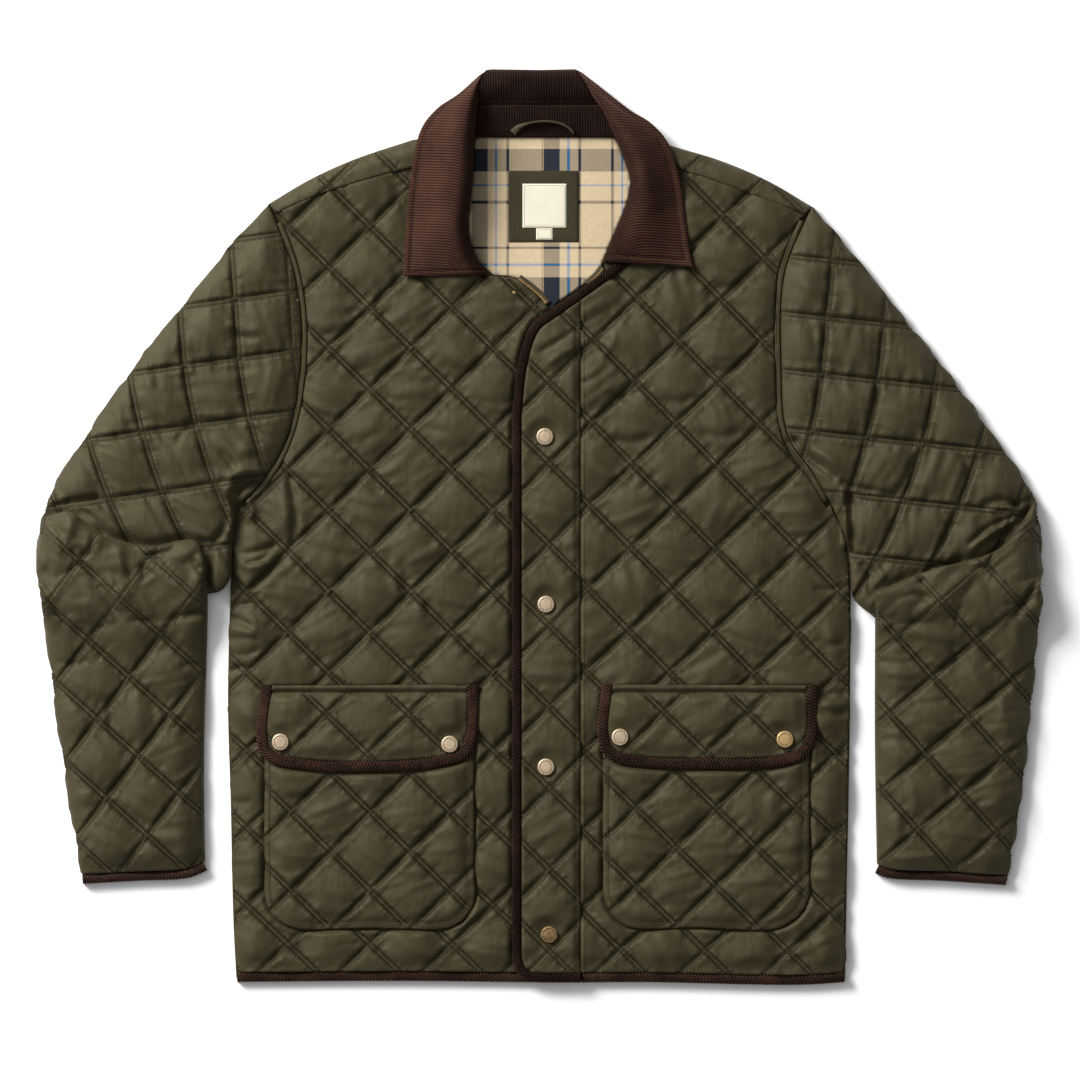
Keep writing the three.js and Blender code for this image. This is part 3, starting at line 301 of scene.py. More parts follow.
def folded(folds, x, y):
    """Height that laid folds add: soft ridges and troughs along marked paths, uneven and fading out."""
    total = np.zeros_like(x)
    for fold in folds:
        marks = np.array(fold["path"], float)
        reach = 3 * fold["width"]
        low, high = marks.min(axis=0) - reach, marks.max(axis=0) + reach
        near = (x > low[0]) & (x < high[0]) & (y > low[1]) & (y < high[1])
        if not near.any():
            continue
        path = curve(marks, 3)
        d, point = nearest(path, x[near], y[near])
        from_end = np.minimum(np.hypot(*(point - path[0]).T), np.hypot(*(point - path[-1]).T))
        fade = smooth((from_end + 0.6 * fold["width"]) / (2.4 * fold["width"]))
        depth = 1 + 0.3 * soft_noise(point[:, 0] / 8, point[:, 1] / 8, marks[0, 0])
        beyond = np.exp(-(d / fold["width"]) ** 2)
        total[near] += fold["height"] * fade * depth * beyond
    return total


def new_piece(name, bm, material, shade_smooth=True):
    """Turns a finished mesh, in millimetres, into a piece of the jacket."""
    bmesh.ops.scale(bm, vec=(MM, MM, MM), verts=bm.verts)
    mesh = bpy.data.meshes.new(name)
    bm.to_mesh(mesh)
    bm.free()
    for face in mesh.polygons:
        face.use_smooth = shade_smooth
    mesh.materials.append(material)
    piece = bpy.data.objects.new(name, mesh)
    bpy.context.scene.collection.objects.link(piece)
    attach(piece, "root")
    return piece


def faces_out(bm):
    """Turns a closed mesh's faces outwards."""
    bmesh.ops.recalc_face_normals(bm, faces=bm.faces)
    if bm.calc_volume(signed=True) < 0:
        bmesh.ops.reverse_faces(bm, faces=bm.faces)


def grid_of(columns, rows):
    """A flat grid and each vertex's column and row."""
    bm = bmesh.new()
    bmesh.ops.create_grid(bm, x_segments=columns, y_segments=rows, size=0.5)
    co = np.array([v.co for v in bm.verts])
    i = np.round((co[:, 0] + 0.5) * columns).astype(int)
    j = np.round((co[:, 1] + 0.5) * rows).astype(int)
    return bm, i, j


def set_places(bm, x, y, z):
    for vert, place in zip(bm.verts, np.column_stack([x, y, z]).tolist()):
        vert.co = place


def line_stations(first, last, size):
    """Lattice coordinates of the grid's rows, close together beside each stitch line."""
    half = np.array(HALF_CELL) / size
    cell = np.concatenate([half, [0.5], 1 - half[:0:-1]])
    return np.concatenate([first + k + cell for k in range(last - first)] + [[last]])


def pinched(quilt, point, inner):
    """An edge drawn in a little where a stitch line runs over it."""
    size_u, size_v = cell_sizes(quilt)
    u, v = quilt_coordinates(quilt, point[:, 0], point[:, 1])
    near = np.minimum(from_line(u, size_u)[0], from_line(v, size_v)[0])
    pull = 3.0 * np.exp(-(near / 6.5) ** 2) + 0.8 * soft_noise(point[:, 0] / 7, point[:, 1] / 7, 37)
    away = np.array(inner) - point
    away /= np.maximum(np.linalg.norm(away, axis=1), 1e-6)[:, None]
    return point + away * pull[:, None]


def quilted_wall(name, outline, quilt, surface, low, material, pinch=None):
    """A quilted panel: rows along the stitch lines, cut to its outline, over a plain inside."""
    outline = np.array(outline)
    size_u, size_v = cell_sizes(quilt)
    u, v = quilt_coordinates(quilt, outline[:, 0], outline[:, 1])
    us = line_stations(math.floor(u.min()) - 1, math.ceil(u.max()) + 1, size_u)
    vs = line_stations(math.floor(v.min()) - 1, math.ceil(v.max()) + 1, size_v)
    bm, i, j = grid_of(len(us) - 1, len(vs) - 1)
    x, y = quilt_place(quilt, us[i], vs[j])
    set_places(bm, x, y, np.zeros_like(x))
    return walled(name, bm, outline, surface, low, material, quilt=quilt, edge=pinch)


def walled(name, bm, outline, surface, low, material, quilt=None, edge=None, rib=None):
    """Cuts a flat grid to an outline, raises it to a surface and closes it down to a flat floor."""
    middles = np.array([f.calc_center_median() for f in bm.faces])
    keep = inside(outline, middles[:, 0], middles[:, 1])
    spare = [face for face, kept in zip(bm.faces, keep) if not kept]
    bmesh.ops.delete(bm, geom=spare, context="FACES")
    islands_to_one(bm)
    rim = [edge for edge in bm.edges if edge.is_boundary]
    rim_verts = list({vert for edge in rim for vert in edge.verts})
    rx = np.array([vert.co.x for vert in rim_verts])
    ry = np.array([vert.co.y for vert in rim_verts])
    point = nearest(np.vstack([outline, outline[:1]]), rx, ry)[1]
    for corner in sharp_corners(outline):
        point[np.argmin(np.hypot(rx - corner[0], ry - corner[1]))] = corner
    if edge is not None:
        off_edge = distance(edge, point[:, 0], point[:, 1]) > 1
        drawn = pinched(quilt, point, outline_middle(outline, point))
        point = np.where(off_edge[:, None], point, drawn)
    for vert, place in zip(rim_verts, point.tolist()):
        vert.co = (*place, 0)
    co = np.array([vert.co for vert in bm.verts])
    set_places(bm, co[:, 0], co[:, 1], surface(co[:, 0], co[:, 1]))
    if rib is not None:
        layer = bm.verts.layers.float.new("rib")
        for vert, value in zip(bm.verts, rib(co[:, 0], co[:, 1]).tolist()):
            vert[layer] = value
    if quilt is not None:
        mark_rows(bm, quilt, co[:, 0], co[:, 1])
    down = bmesh.ops.extrude_edge_only(bm, edges=rim)["geom"]
    bottom = {item for item in down if isinstance(item, bmesh.types.BMVert)}
    for vert in bottom:
        vert.co.z = low
    floor_edges = [item for item in down if isinstance(item, bmesh.types.BMEdge) and bottom.issuperset(item.verts)]
    bmesh.ops.triangle_fill(bm, use_beauty=False, use_dissolve=False, edges=floor_edges)
    unfilled = [edge for edge in bm.edges if edge.is_boundary]
    if unfilled:
        bmesh.ops.holes_fill(bm, edges=unfilled, sides=0)
    faces_out(bm)
    return new_piece(name, bm, material)


def mark_rows(bm, quilt, x, y):
    """Keeps each vertex's distance from the stitch lines, and its place along them, for the cloth."""
    size_u, size_v = cell_sizes(quilt)
    u, v = quilt_coordinates(quilt, x, y)
    rows = np.column_stack([from_line(u, size_u)[0], from_line(v, size_v)[0], u])
    along = np.column_stack([v * size_v, u * size_u, v])
    rows[y > quilt.get("plain_above", np.inf), :2] = 20
    for name, values in (("rows", rows), ("along", along)):
        layer = bm.verts.layers.float_vector.new(name)
        for vert, value in zip(bm.verts, values.tolist()):
            vert[layer] = value


def islands_to_one(bm):
    """Drops crumbs that the cutting left apart from the panel, and corners held by one point."""
    pinch_points = [vert for vert in bm.verts if sum(edge.is_boundary for edge in vert.link_edges) > 2]
    while pinch_points:
        faces = list({min(vert.link_faces, key=lambda f: len([e for e in f.edges if not e.is_boundary]))
                      for vert in pinch_points})
        bmesh.ops.delete(bm, geom=faces, context="FACES")
        pinch_points = [vert for vert in bm.verts if sum(edge.is_boundary for edge in vert.link_edges) > 2]
    seen, best = set(), []
    for start in bm.verts:
        if start in seen:
            continue
        group, stack = [], [start]
        seen.add(start)
        while stack:
            vert = stack.pop()
            group.append(vert)
            for edge in vert.link_edges:
                other = edge.other_vert(vert)
                if other not in seen:
                    seen.add(other)
                    stack.append(other)
        if len(group) > len(best):
            best = group
    best = set(best)
    bmesh.ops.delete(bm, geom=[vert for vert in bm.verts if vert not in best], context="VERTS")


def sharp_corners(outline):
    ahead = np.roll(outline, -1, axis=0) - outline
    behind = outline - np.roll(outline, 1, axis=0)
    turn = np.abs(np.arctan2(behind[:, 0] * ahead[:, 1] - behind[:, 1] * ahead[:, 0],
                             (behind * ahead).sum(axis=1)))
    return outline[turn > 0.6]


def outline_middle(outline, point):
    """Points well inside an outline, at each edge point's own height."""
    middle = outline.mean(axis=0)
    return np.column_stack([np.full(len(point), middle[0]), mix(point[:, 1], middle[1], 0.08)])


# Lockstitch zigzag thread, coloured slightly paler than the shell as a painted highlight on the raised thread
THREAD_RADIUS = 0.3
STITCH_STEP = 1.35
ZIGZAG = 0.85


def stitched(name, runs, material):
    """Thread laid along runs of points, as one mesh."""
    data = bpy.data.curves.new(name, "CURVE")
    data.dimensions = "3D"
    data.bevel_depth = THREAD_RADIUS * MM
    data.bevel_resolution = 0
    data.use_fill_caps = True
    for run in runs:
        spline = data.splines.new("POLY")
        spline.points.add(len(run) - 1)
        flat = np.column_stack([np.array(run) * MM, np.ones(len(run))]).ravel()
        spline.points.foreach_set("co", flat)
    carrier = bpy.data.objects.new(name + "_line", data)
    bpy.context.scene.collection.objects.link(carrier)
    bpy.context.view_layer.update()
    mesh = bpy.data.meshes.new_from_object(carrier.evaluated_get(bpy.context.evaluated_depsgraph_get()))
    bpy.data.objects.remove(carrier)
    bm = bmesh.new()
    bm.from_mesh(mesh)
    bmesh.ops.remove_doubles(bm, verts=bm.verts, dist=0.001 * MM)
    bm.to_mesh(mesh)
    bm.free()
    mesh.name = name
    mesh.materials.clear()
    mesh.materials.append(material)
    piece = bpy.data.objects.new(name, mesh)
    bpy.context.scene.collection.objects.link(piece)
    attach(piece, "root")
    return piece


def split_runs(points, kept, least=3):
    runs, run = [], []
    for point, ok in zip(points, kept):
        if ok:
            run.append(point)
        elif run:
            runs.append(run)
            run = []
    runs.append(run)
    return [r for r in runs if len(r) >= least]


def quilt_stitches(name, outline, quilt, surface, material, margin=1.5, hidden=()):
    """The double row of zigzag stitches along each line of a quilted panel."""
    outline = np.array(outline)
    closed = np.vstack([outline, outline[:1]])
    sizes = cell_sizes(quilt)
    corners = quilt_coordinates(quilt, outline[:, 0], outline[:, 1])
    runs = []
    for axis in (0, 1):
        lines = range(math.floor(corners[axis].min()), math.ceil(corners[axis].max()) + 1)
        size = sizes[1 - axis]
        count = np.arange(math.floor(corners[1 - axis].min() * size / STITCH_STEP),
                          math.ceil(corners[1 - axis].max() * size / STITCH_STEP))
        along = count * STITCH_STEP / size
        tooth = np.where(count % 2, ZIGZAG, -ZIGZAG)
        for line in lines:
            for row in (-1, 1):
                across = line + row * (STITCH_ROW + tooth) / sizes[axis]
                u, v = (across, along) if axis == 0 else (along, across)
                x, y = quilt_place(quilt, u, v)
                kept = inside(outline, x, y)
                kept[kept] = distance(closed, x[kept], y[kept]) > margin
                for cover in hidden:
                    kept &= ~inside(cover, x, y)
                if kept.any():
                    z = surface(x, y) + 0.5 * THREAD_RADIUS
                    runs += split_runs(np.column_stack([x, y, z]), kept)
    return stitched(name, runs, material)


def seam_stitches(path, surface, step=1.6, tooth=0.0):
    """One row of stitches along a path on the cloth, as a run of points."""
    line = respaced(path, step)
    side = np.where(np.arange(len(line)) % 2, tooth, -tooth)
    line = beside(line, side)
    z = surface(line[:, 0], line[:, 1]) + 0.5 * THREAD_RADIUS
    return np.column_stack([line, z])


def nodes_of(material):
    material.use_nodes = True
    tree = material.node_tree
    return tree, tree.nodes["Principled BSDF"]


def add_node(tree, kind, **values):
    node = tree.nodes.new(kind)
    for key, value in values.items():
        if key in node.inputs.keys():
            node.inputs[key].default_value = value
        else:
            setattr(node, key, value)
    return node


def shell_cloth(name, dark, light, thread=False, crumple=1.0):
    """Olive polyester taffeta: a tight plain weave with a soft satin sheen and faint mottling, with painted shade in
    the needle holes along the quilting rows.
    """
    material = bpy.data.materials.new(name)
    tree, shader = nodes_of(material)
    links = tree.links

    def math_of(operation, *values):
        node = add_node(tree, "ShaderNodeMath", operation=operation)
        for k, value in enumerate(values):
            if isinstance(value, (int, float)):
                node.inputs[k].default_value = value
            else:
                links.new(value, node.inputs[k])
        return node.outputs[0]

    def ranged(value, low, high, start, end):
        node = add_node(tree, "ShaderNodeMapRange", interpolation_type="SMOOTHSTEP")
        links.new(value, node.inputs["Value"])
        for key, number in zip(("From Min", "From Max", "To Min", "To Max"), (low, high, start, end)):
            node.inputs[key].default_value = number
        return node.outputs["Result"]

    place = add_node(tree, "ShaderNodeTexCoord").outputs["Object"]
    blotch = add_node(tree, "ShaderNodeTexNoise", Scale=38.0, Detail=4.0, Roughness=0.6)
    links.new(place, blotch.inputs["Vector"])
    ramp = add_node(tree, "ShaderNodeValToRGB")
    ramp.color_ramp.elements[0].position = 0.3
    ramp.color_ramp.elements[0].color = (*dark, 1)
    ramp.color_ramp.elements[1].position = 0.72
    ramp.color_ramp.elements[1].color = (*light, 1)
    links.new(blotch.outputs["Fac"], ramp.inputs["Fac"])
    shader.inputs["Roughness"].default_value = 0.5
    shader.inputs["Specular IOR Level"].default_value = 0.2
    shader.inputs["Specular Tint"].default_value = (1.0, 0.9, 0.66, 1)
    shader.inputs["Sheen Weight"].default_value = 0.05
    shader.inputs["Sheen Roughness"].default_value = 0.5
    shader.inputs["Sheen Tint"].default_value = (1.0, 0.88, 0.6, 1)
    if thread:
        links.new(ramp.outputs["Color"], shader.inputs["Base Color"])
        return material
    weave = [add_node(tree, "ShaderNodeTexWave", bands_direction=axis, Scale=420.0, Distortion=0.6)
             for axis in ("X", "Y")]
    for wave in weave:
        links.new(place, wave.inputs["Vector"])
    grain = math_of("MULTIPLY", weave[0].outputs["Fac"], weave[1].outputs["Fac"])
    slub = add_node(tree, "ShaderNodeTexNoise", Scale=240.0, Detail=3.0)
    links.new(place, slub.inputs["Vector"])
    height = math_of("MULTIPLY_ADD", math_of("ADD", grain, slub.outputs["Fac"]), 0.12, 0.0)
    rows = add_node(tree, "ShaderNodeSeparateXYZ")
    links.new(add_node(tree, "ShaderNodeAttribute", attribute_name="rows").outputs["Vector"], rows.inputs[0])
    along = add_node(tree, "ShaderNodeSeparateXYZ")
    links.new(add_node(tree, "ShaderNodeAttribute", attribute_name="along").outputs["Vector"], along.inputs[0])
    holes = []
    for axis, line in enumerate((rows.outputs[2], along.outputs[2])):
        off_line, run = rows.outputs[axis], along.outputs[axis]
        swing = math_of("COSINE", math_of("MULTIPLY", run, math.pi / STITCH_STEP))
        tooth = math_of("MULTIPLY", swing, ZIGZAG)
        off_row = math_of("ABSOLUTE", math_of("ADD", math_of("SUBTRACT", off_line, STITCH_ROW), tooth))
        needle = ranged(math_of("ABSOLUTE", swing), 0.45, 0.85, 0.3, 1.0)
        holes.append(math_of("MULTIPLY", ranged(off_row, 0.35, 0.95, 1.0, 0.0), needle))
        spot = add_node(tree, "ShaderNodeCombineXYZ")
        links.new(math_of("MULTIPLY", run, 0.21), spot.inputs[0])
        links.new(math_of("MULTIPLY", off_line, 0.085), spot.inputs[1])
        links.new(math_of("MULTIPLY", math_of("ROUND", line), 7.7 + axis), spot.inputs[2])
        drawn = add_node(tree, "ShaderNodeTexNoise", Scale=1.0, Detail=1.5, Roughness=0.5)
        links.new(spot.outputs[0], drawn.inputs["Vector"])
        pull = math_of("MULTIPLY", ranged(off_line, 2.0, 11.0, 1.0, 0.0), ranged(off_line, 0.6, 2.6, 0.25, 1.0))
        height = math_of("MULTIPLY_ADD", math_of("MULTIPLY", drawn.outputs["Fac"], pull), 2.4 * crumple, height)
    # Needle holes along each stitch row: dented in the bump, and painted near-black below as painted shade in the
    # dimples.
    sewn = math_of("MAXIMUM", *holes)
    height = math_of("MULTIPLY_ADD", sewn, -0.55, height)
    stretched = add_node(tree, "ShaderNodeMapping")
    stretched.inputs["Rotation"].default_value = (0, 0, math.radians(24))
    stretched.inputs["Scale"].default_value = (1.0, 0.38, 1.0)
    links.new(place, stretched.inputs["Vector"])
    crinkle = add_node(tree, "ShaderNodeTexNoise", Scale=64.0, Detail=2.0, Roughness=0.45, Distortion=0.3)
    links.new(stretched.outputs["Vector"], crinkle.inputs["Vector"])
    height = math_of("MULTIPLY_ADD", crinkle.outputs["Fac"], 1.7 * crumple, height)
    bump = add_node(tree, "ShaderNodeBump", Strength=1.0, Distance=MM)
    links.new(height, bump.inputs["Height"])
    links.new(bump.outputs["Normal"], shader.inputs["Normal"])
    # Painted shade: the colour is darkened to near-black in the needle holes and dimples of the stitch rows.
    shade = add_node(tree, "ShaderNodeMix", data_type="RGBA")
    links.new(math_of("MULTIPLY", sewn, 0.92), shade.inputs["Factor"])
    links.new(ramp.outputs["Color"], shade.inputs["A"])
    shade.inputs["B"].default_value = (0.004, 0.0032, 0.0012, 1)
    links.new(shade.outputs["Result"], shader.inputs["Base Color"])
    return material


cloth = shell_cloth("quilted_shell", (0.02993, 0.02469, 0.01122), (0.04265, 0.03554, 0.01683))
# The thread is coloured a little paler than the shell: a painted highlight.
thread_olive = shell_cloth("olive_thread", (0.03142, 0.02619, 0.01272), (0.04788, 0.0404, 0.0202), thread=True)
armhole_right, armhole_left = curve(ARMHOLE_RIGHT), curve(ARMHOLE_LEFT)
side_right, side_left = curve(SIDE_RIGHT), curve(SIDE_LEFT)
hem = curve(HEM)
hem_top = hem + (0, HEM_WIDTH)


def above_hem(side):
    return side[side[:, 1] > -HEM_WIDTH - 409]


def joined(*paths):
    """One outline from several stretches, without doubled points."""
    line = np.vstack([np.array(p, float).reshape(-1, 2) for p in paths])
    step = np.linalg.norm(line - np.roll(line, -1, axis=0), axis=1)
    return line[step > 0.2]


def plain_slab(name, outline, low, high, material, bevel=0.0):
    """A flat piece of cloth cut to an outline."""
    bm = bmesh.new()
    face = bm.faces.new([bm.verts.new((x, y, low)) for x, y in outline])
    grown = bmesh.ops.extrude_face_region(bm, geom=[face])["geom"]
    bmesh.ops.translate(bm, vec=(0, 0, high - low), verts=[g for g in grown if isinstance(g, bmesh.types.BMVert)])
    faces_out(bm)
    if bevel:
        top = [e for e in bm.edges if all(abs(v.co.z - high) < 1e-6 for v in e.verts)]
        bmesh.ops.bevel(bm, geom=top, offset=bevel, affect="EDGES", segments=3, profile=0.5, material=-1)
    return new_piece(name, bm, material, shade_smooth=False)


body_outline = joined(armhole_right, above_hem(side_right), hem_top, above_hem(side_left), armhole_left,
                      curve(SHOULDER_LEFT), [(92, NECK_LINE_Y), (-92, NECK_LINE_Y)], curve(SHOULDER_RIGHT))
back_panel = plain_slab("back_panel", body_outline, 0, BACK_CLOTH, cloth)


def shoulder_surface(silhouette, quilt, seed):
    def surface(x, y):
        u, v = quilt_coordinates(quilt, x, y)
        edge = distance(silhouette, x, y)
        return mix(5, SEAM_TOP + 2, rounded(edge, 14)) + 0.5 * smooth(edge / 12) * quilting(quilt, u, v, seed)
    return surface


shoulders = []
for side, silhouette, seam in (("right", curve(SHOULDER_RIGHT), curve(SEAM_RIGHT)),
                               ("left", curve(SHOULDER_LEFT), curve(SEAM_LEFT))):
    quilt = QUILTS["front_" + side]
    outline = joined(silhouette, seam + (0, 0.15))
    surface = shoulder_surface(silhouette, quilt, 41)
    wrap = quilted_wall("shoulder_wrap_" + side, outline, quilt, surface, 0.2, cloth)
    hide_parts("shoulder_" + side)
    shoulders += [wrap, quilt_stitches("shoulder_stitches_" + side, outline, quilt, surface, thread_olive)]
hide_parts("back")


# The fronts: two quilted panels, the right one running on under the placket. They are sewn to
# the back at the sides, armholes and shoulders, and their quilting is pressed flat under the
# collar, the pockets and the placket.
LEAF_COLUMNS = "roll_x roll_y roll_z edge_x edge_y edge_z"
LEAF_RIGHT = rows_of(LEAF_COLUMNS,
                     (-48, 230, 20, -126, 229, 17), (-60, 250, 28, -125, 246, 17),
                     (-66, 274, 33, -123.5, 268, 17), (-64, 297, 36, -122, 293, 17),
                     (-62, 320, 38, -119, 318, 17), (-60.5, 345, 38, -115.5, 343, 16),
                     (-59.5, 365, 37, -108, 367, 15), (-58, 385, 34, -94, 384, 14),
                     (-56, 402, 28.5, -75, 397, 13), (-51.5, 416, 21.5, -56, 414, 12))
LEAF_LEFT = rows_of(LEAF_COLUMNS,
                    (58, 243, 20, 141, 237.5, 17), (65, 260, 28, 137, 257, 17),
                    (74, 281, 33, 133, 285, 17), (81, 300, 36, 130, 309, 17),
                    (83.5, 318, 38, 125, 331, 17), (77, 339, 38, 117, 353, 16),
                    (68, 359, 37, 102, 370, 15), (58.5, 380, 34, 83, 382, 14),
                    (48, 395, 29, 61, 399, 13), (34, 415.5, 21.5, 37.5, 417.5, 12))
POCKET_RIGHT = [(-253, -150), (-253, -230), (-253, -307.5), (-250, -350), (-230, -368), (-155, -369.5),
                (-81, -368), (-62, -350), (-60.5, -307), (-60.5, -230), (-60.5, -150)]
POCKET_LEFT = [(58, -150), (58, -230), (58, -307), (60.5, -347), (78, -367), (147, -369), (221, -369),
               (245, -348), (247.5, -307), (247.5, -230), (247.5, -150)]
TAB_EDGE = [(-46, 230), (-22, 227), (-3, 211.5), (12, 196)]
PLACKET_TOP = [(60.5, 229.5), (37, 212.5), (9, 193), (-3, 184), (-10, 171), (-17, 143), (-21.4, 100)]
PLACKET_CORNER = [(-21.4, -392), (-19.5, -404), (-12, -413), (0, -415.3)]
RIGHT_FREE_EDGE_X = 27.5
PLACKET_SEAM_X = 37.5
WELT_WIDTH = 5.4
NECK_EDGE = 5
EDGE_TOP = 5.3
PATCH_FLOOR = 8.2
COLLAR_SHADE = {"y": 225, "half_width": 142}
FOLD_COLUMNS = "width height path"
ARMPIT_FOLDS = rows_of(
    FOLD_COLUMNS,
    (3.2, -8, [(-279.7, 26.7), (-274.2, 34), (-265, 37.7), (-254.8, 35.9)]),
    (5, 5.5, [(-288, 23.9), (-286.1, 38.6), (-277.8, 48.8), (-265, 51.5), (-252.1, 47.8)]),
    (4, 4.5, [(-272.3, 24.8), (-265, 16.6), (-266.8, 3.7)]),
    (4, -6, [(-275.1, 12.9), (-277.8, -3.7), (-279.7, -23.9), (-281.5, -42.3)]),
    (3.5, -4.5, [(-294.4, 69.9), (-285.2, 59.8), (-278.8, 48.8)]),
    (6, 3.6, [(-273.2, 79.1), (-266.8, 62.6)]),
    (3.4, 3.4, [(-286.1, 19.3), (-282.4, 5.5), (-287, -11)]),
    (2.8, -4.5, [(-276.9, 23.9), (-279.7, 11), (-277.8, 0)]),
    (3.4, -6.5, [(231.8, 82.8), (239.2, 72.7), (248.4, 61.6), (260.4, 53.4), (274.2, 41.4)]),
    (3.2, -5, [(274.2, 42.3), (285.2, 36.8), (298.1, 34), (329.4, 27.6)]),
    (3.4, 4.2, [(276.9, 35), (279.7, 5.5), (280.6, -22.1)]),
    (4, -7, [(285.2, 34), (287, 5.5), (286.1, -27.6)]),
    (4.5, 3.2, [(246.6, 73.6), (261.3, 64.4), (276, 53.4)]),
    (2.8, -4, [(225.4, 81), (231.8, 65.3), (242.9, 51.5)]))
FRONT_FOLDS = ARMPIT_FOLDS + rows_of(
    FOLD_COLUMNS,
    (3.6, -4, [(-230.9, 47.8), (-226.3, 25.8), (-224.5, 5.5), (-229.1, -20.2)]),
    (4, 2.6, [(-236.4, 42.3), (-233.7, 19.3), (-234.6, -5.5)]),
    (2.9, -4.2, [(-279.7, -24.8), (-265, -24.8), (-242, -16.6)]),
    (2.8, -3.6, [(-272.3, -34), (-259.4, -32.2), (-246.6, -22.1)]),
    (4, 2.8, [(-279.7, -30.4), (-266.8, -36.8), (-252.1, -34)]),
    (3.2, -3, [(-268.6, -60.7), (-250.2, -43.2), (-228.2, -21.2)]),
    (4, 2.2, [(-255.8, -58.9), (-239.2, -43.2), (-222.6, -31.3)]),
    (3, -2.6, [(-284.3, -74.5), (-272.3, -71.8), (-255.8, -73.6)]),
    (3.4, -1.8, [(-287, -104.9), (-272.3, -103), (-255.8, -106.7)]),
    (3, -2.2, [(-287, -134.3), (-276, -130.6), (-261.3, -131.6)]),
    (5, -3, [(60.7, 81.9), (82.8, 77.3), (104.9, 82.8)]),
    (5, -2.8, [(145.4, 85.6), (165.6, 81.9), (185.8, 87.4)]),
    (4.5, -2.8, [(110.4, 116.8), (128.8, 114.1), (149, 120.5)]),
    (4, -2.6, [(60.7, 123.3), (81, 117.8), (92, 127)]),
    (3, -2.2, [(18.4, 127), (46, 134.3), (66.2, 149)]),
    (3, 2, [(55.2, 152.7), (66.2, 167.4), (69.9, 180.3)]),
    (4.5, 1.6, [(-110.4, -64.4), (-109.5, -88.3)]),
    (4.5, -1.6, [(-103, -62.6), (-102.1, -88.3)]),
    (4.5, -1.5, [(-184, -20.2), (-182.2, -57)]),
    (4.5, 1.4, [(-61.6, -20.2), (-59.8, -53.4)]),
    (5, -1.6, [(-154.6, 53.4), (-149, 23.9)]),
    (5, 1.6, [(-160.1, 207.9), (-143.5, 180.3)]),
    (4.5, -1.6, [(-152.7, 211.6), (-136.2, 184)]),
    (3.4, -2, [(280.6, -54.3), (265, -58.9), (250.2, -57)]),
    (3.4, -1.8, [(281.5, -104.9), (268.6, -109.5), (253.9, -106.7)]),
    (3.4, -3, [(-287, -84.6), (-274.2, -87.4), (-263.1, -93.8)]),
    (3.4, 2, [(-286.1, -94.8), (-272.3, -97.5), (-259.4, -99.4)]),
    (3.6, -2.6, [(-287, -115.9), (-272.3, -118.7), (-255.8, -114.1)]),
    (3.4, -3, [(283.4, -154.6), (268.6, -153.6), (257.6, -157.3)]),
    (3.4, 2.2, [(283.4, -162.8), (270.5, -163.8), (259.4, -162.8)]),
    (3.4, -3, [(283.4, -171.1), (269.6, -173), (256.7, -168.4)]),
    (3.6, -2.4, [(283.4, -207.9), (270.5, -211.6), (259.4, -207.9)]),
    (4, -2.4, [(-288.9, -252.1), (-276, -254.8), (-265, -252.1)]),
    (4, -2.4, [(283.4, -279.7), (270.5, -282.4), (259.4, -278.8)]),
    (4, 2, [(-136.2, -31.3), (-130.6, -68.1)]),
    (4.2, -1.8, [(-126, -27.6), (-120.5, -62.6)]),
    (3.4, -2, [(281.5, -160.1), (269.6, -157.3), (255.8, -161)]))


def between(path, axis, low, high):
    return path[(path[:, axis] > low) & (path[:, axis] < high)]


def at_x(path, x):
    order = np.argsort(path[:, 0])
    return float(np.interp(x, path[order, 0], path[order, 1]))


def fading(d, reach):
    """How full the quilting is near an edge, from 0.3 at the edge to 1."""
    return mix(0.3, 1, smooth(d / reach))


def pressed_under(z, x, y, outline, level, reach=9.0):
    """Cloth that lies flat below a level under another piece, and rises beside it."""
    outline = np.array(outline)
    d = distance(np.vstack([outline, outline[:1]]), x, y)
    d = np.where(inside(outline, x, y), 0, d)
    return np.minimum(z, mix(level, np.maximum(z, level), smooth(d / reach)))


def leaf_path(leaf, kind):
    return np.array([(row[kind + "_x"], row[kind + "_y"]) for row in leaf], float)


placket_edge = np.vstack([curve([(84, 247), (72, 238.5)] + PLACKET_TOP), curve([PLACKET_TOP[-1], PLACKET_CORNER[0]]), curve(PLACKET_CORNER, 2),
                          [(PLACKET_SEAM_X - 0.5, at_x(hem, PLACKET_SEAM_X) + HEM_WIDTH / 2)]])
placket_edge = respaced(placket_edge[np.append(True, np.linalg.norm(np.diff(placket_edge, axis=0), axis=1) > 0.1)], 4)
placket_inside = beside(placket_edge, HEM_WIDTH / 2)
placket_cover = np.vstack([beside(placket_edge, -HEM_WIDTH / 2)[2:], [(60, -430), (60, 214)]])
pocket_edges = {"right": curve(POCKET_RIGHT), "left": curve(POCKET_LEFT)}
front_armholes = {"right": beside(armhole_right, WELT_WIDTH + 2 * SEAM_GAP),
                  "left": beside(armhole_left, WELT_WIDTH + 2 * SEAM_GAP)}
tab_edge = curve(TAB_EDGE)
neck_right = beside(leaf_path(LEAF_RIGHT, "roll")[:6], NECK_EDGE)
neck_left = beside(leaf_path(LEAF_LEFT, "roll")[:6], -NECK_EDGE)
collar_covers = [np.vstack([leaf_path(leaf, "roll"), leaf_path(leaf, "edge")[::-1]])
                 for leaf in (LEAF_RIGHT, LEAF_LEFT)]
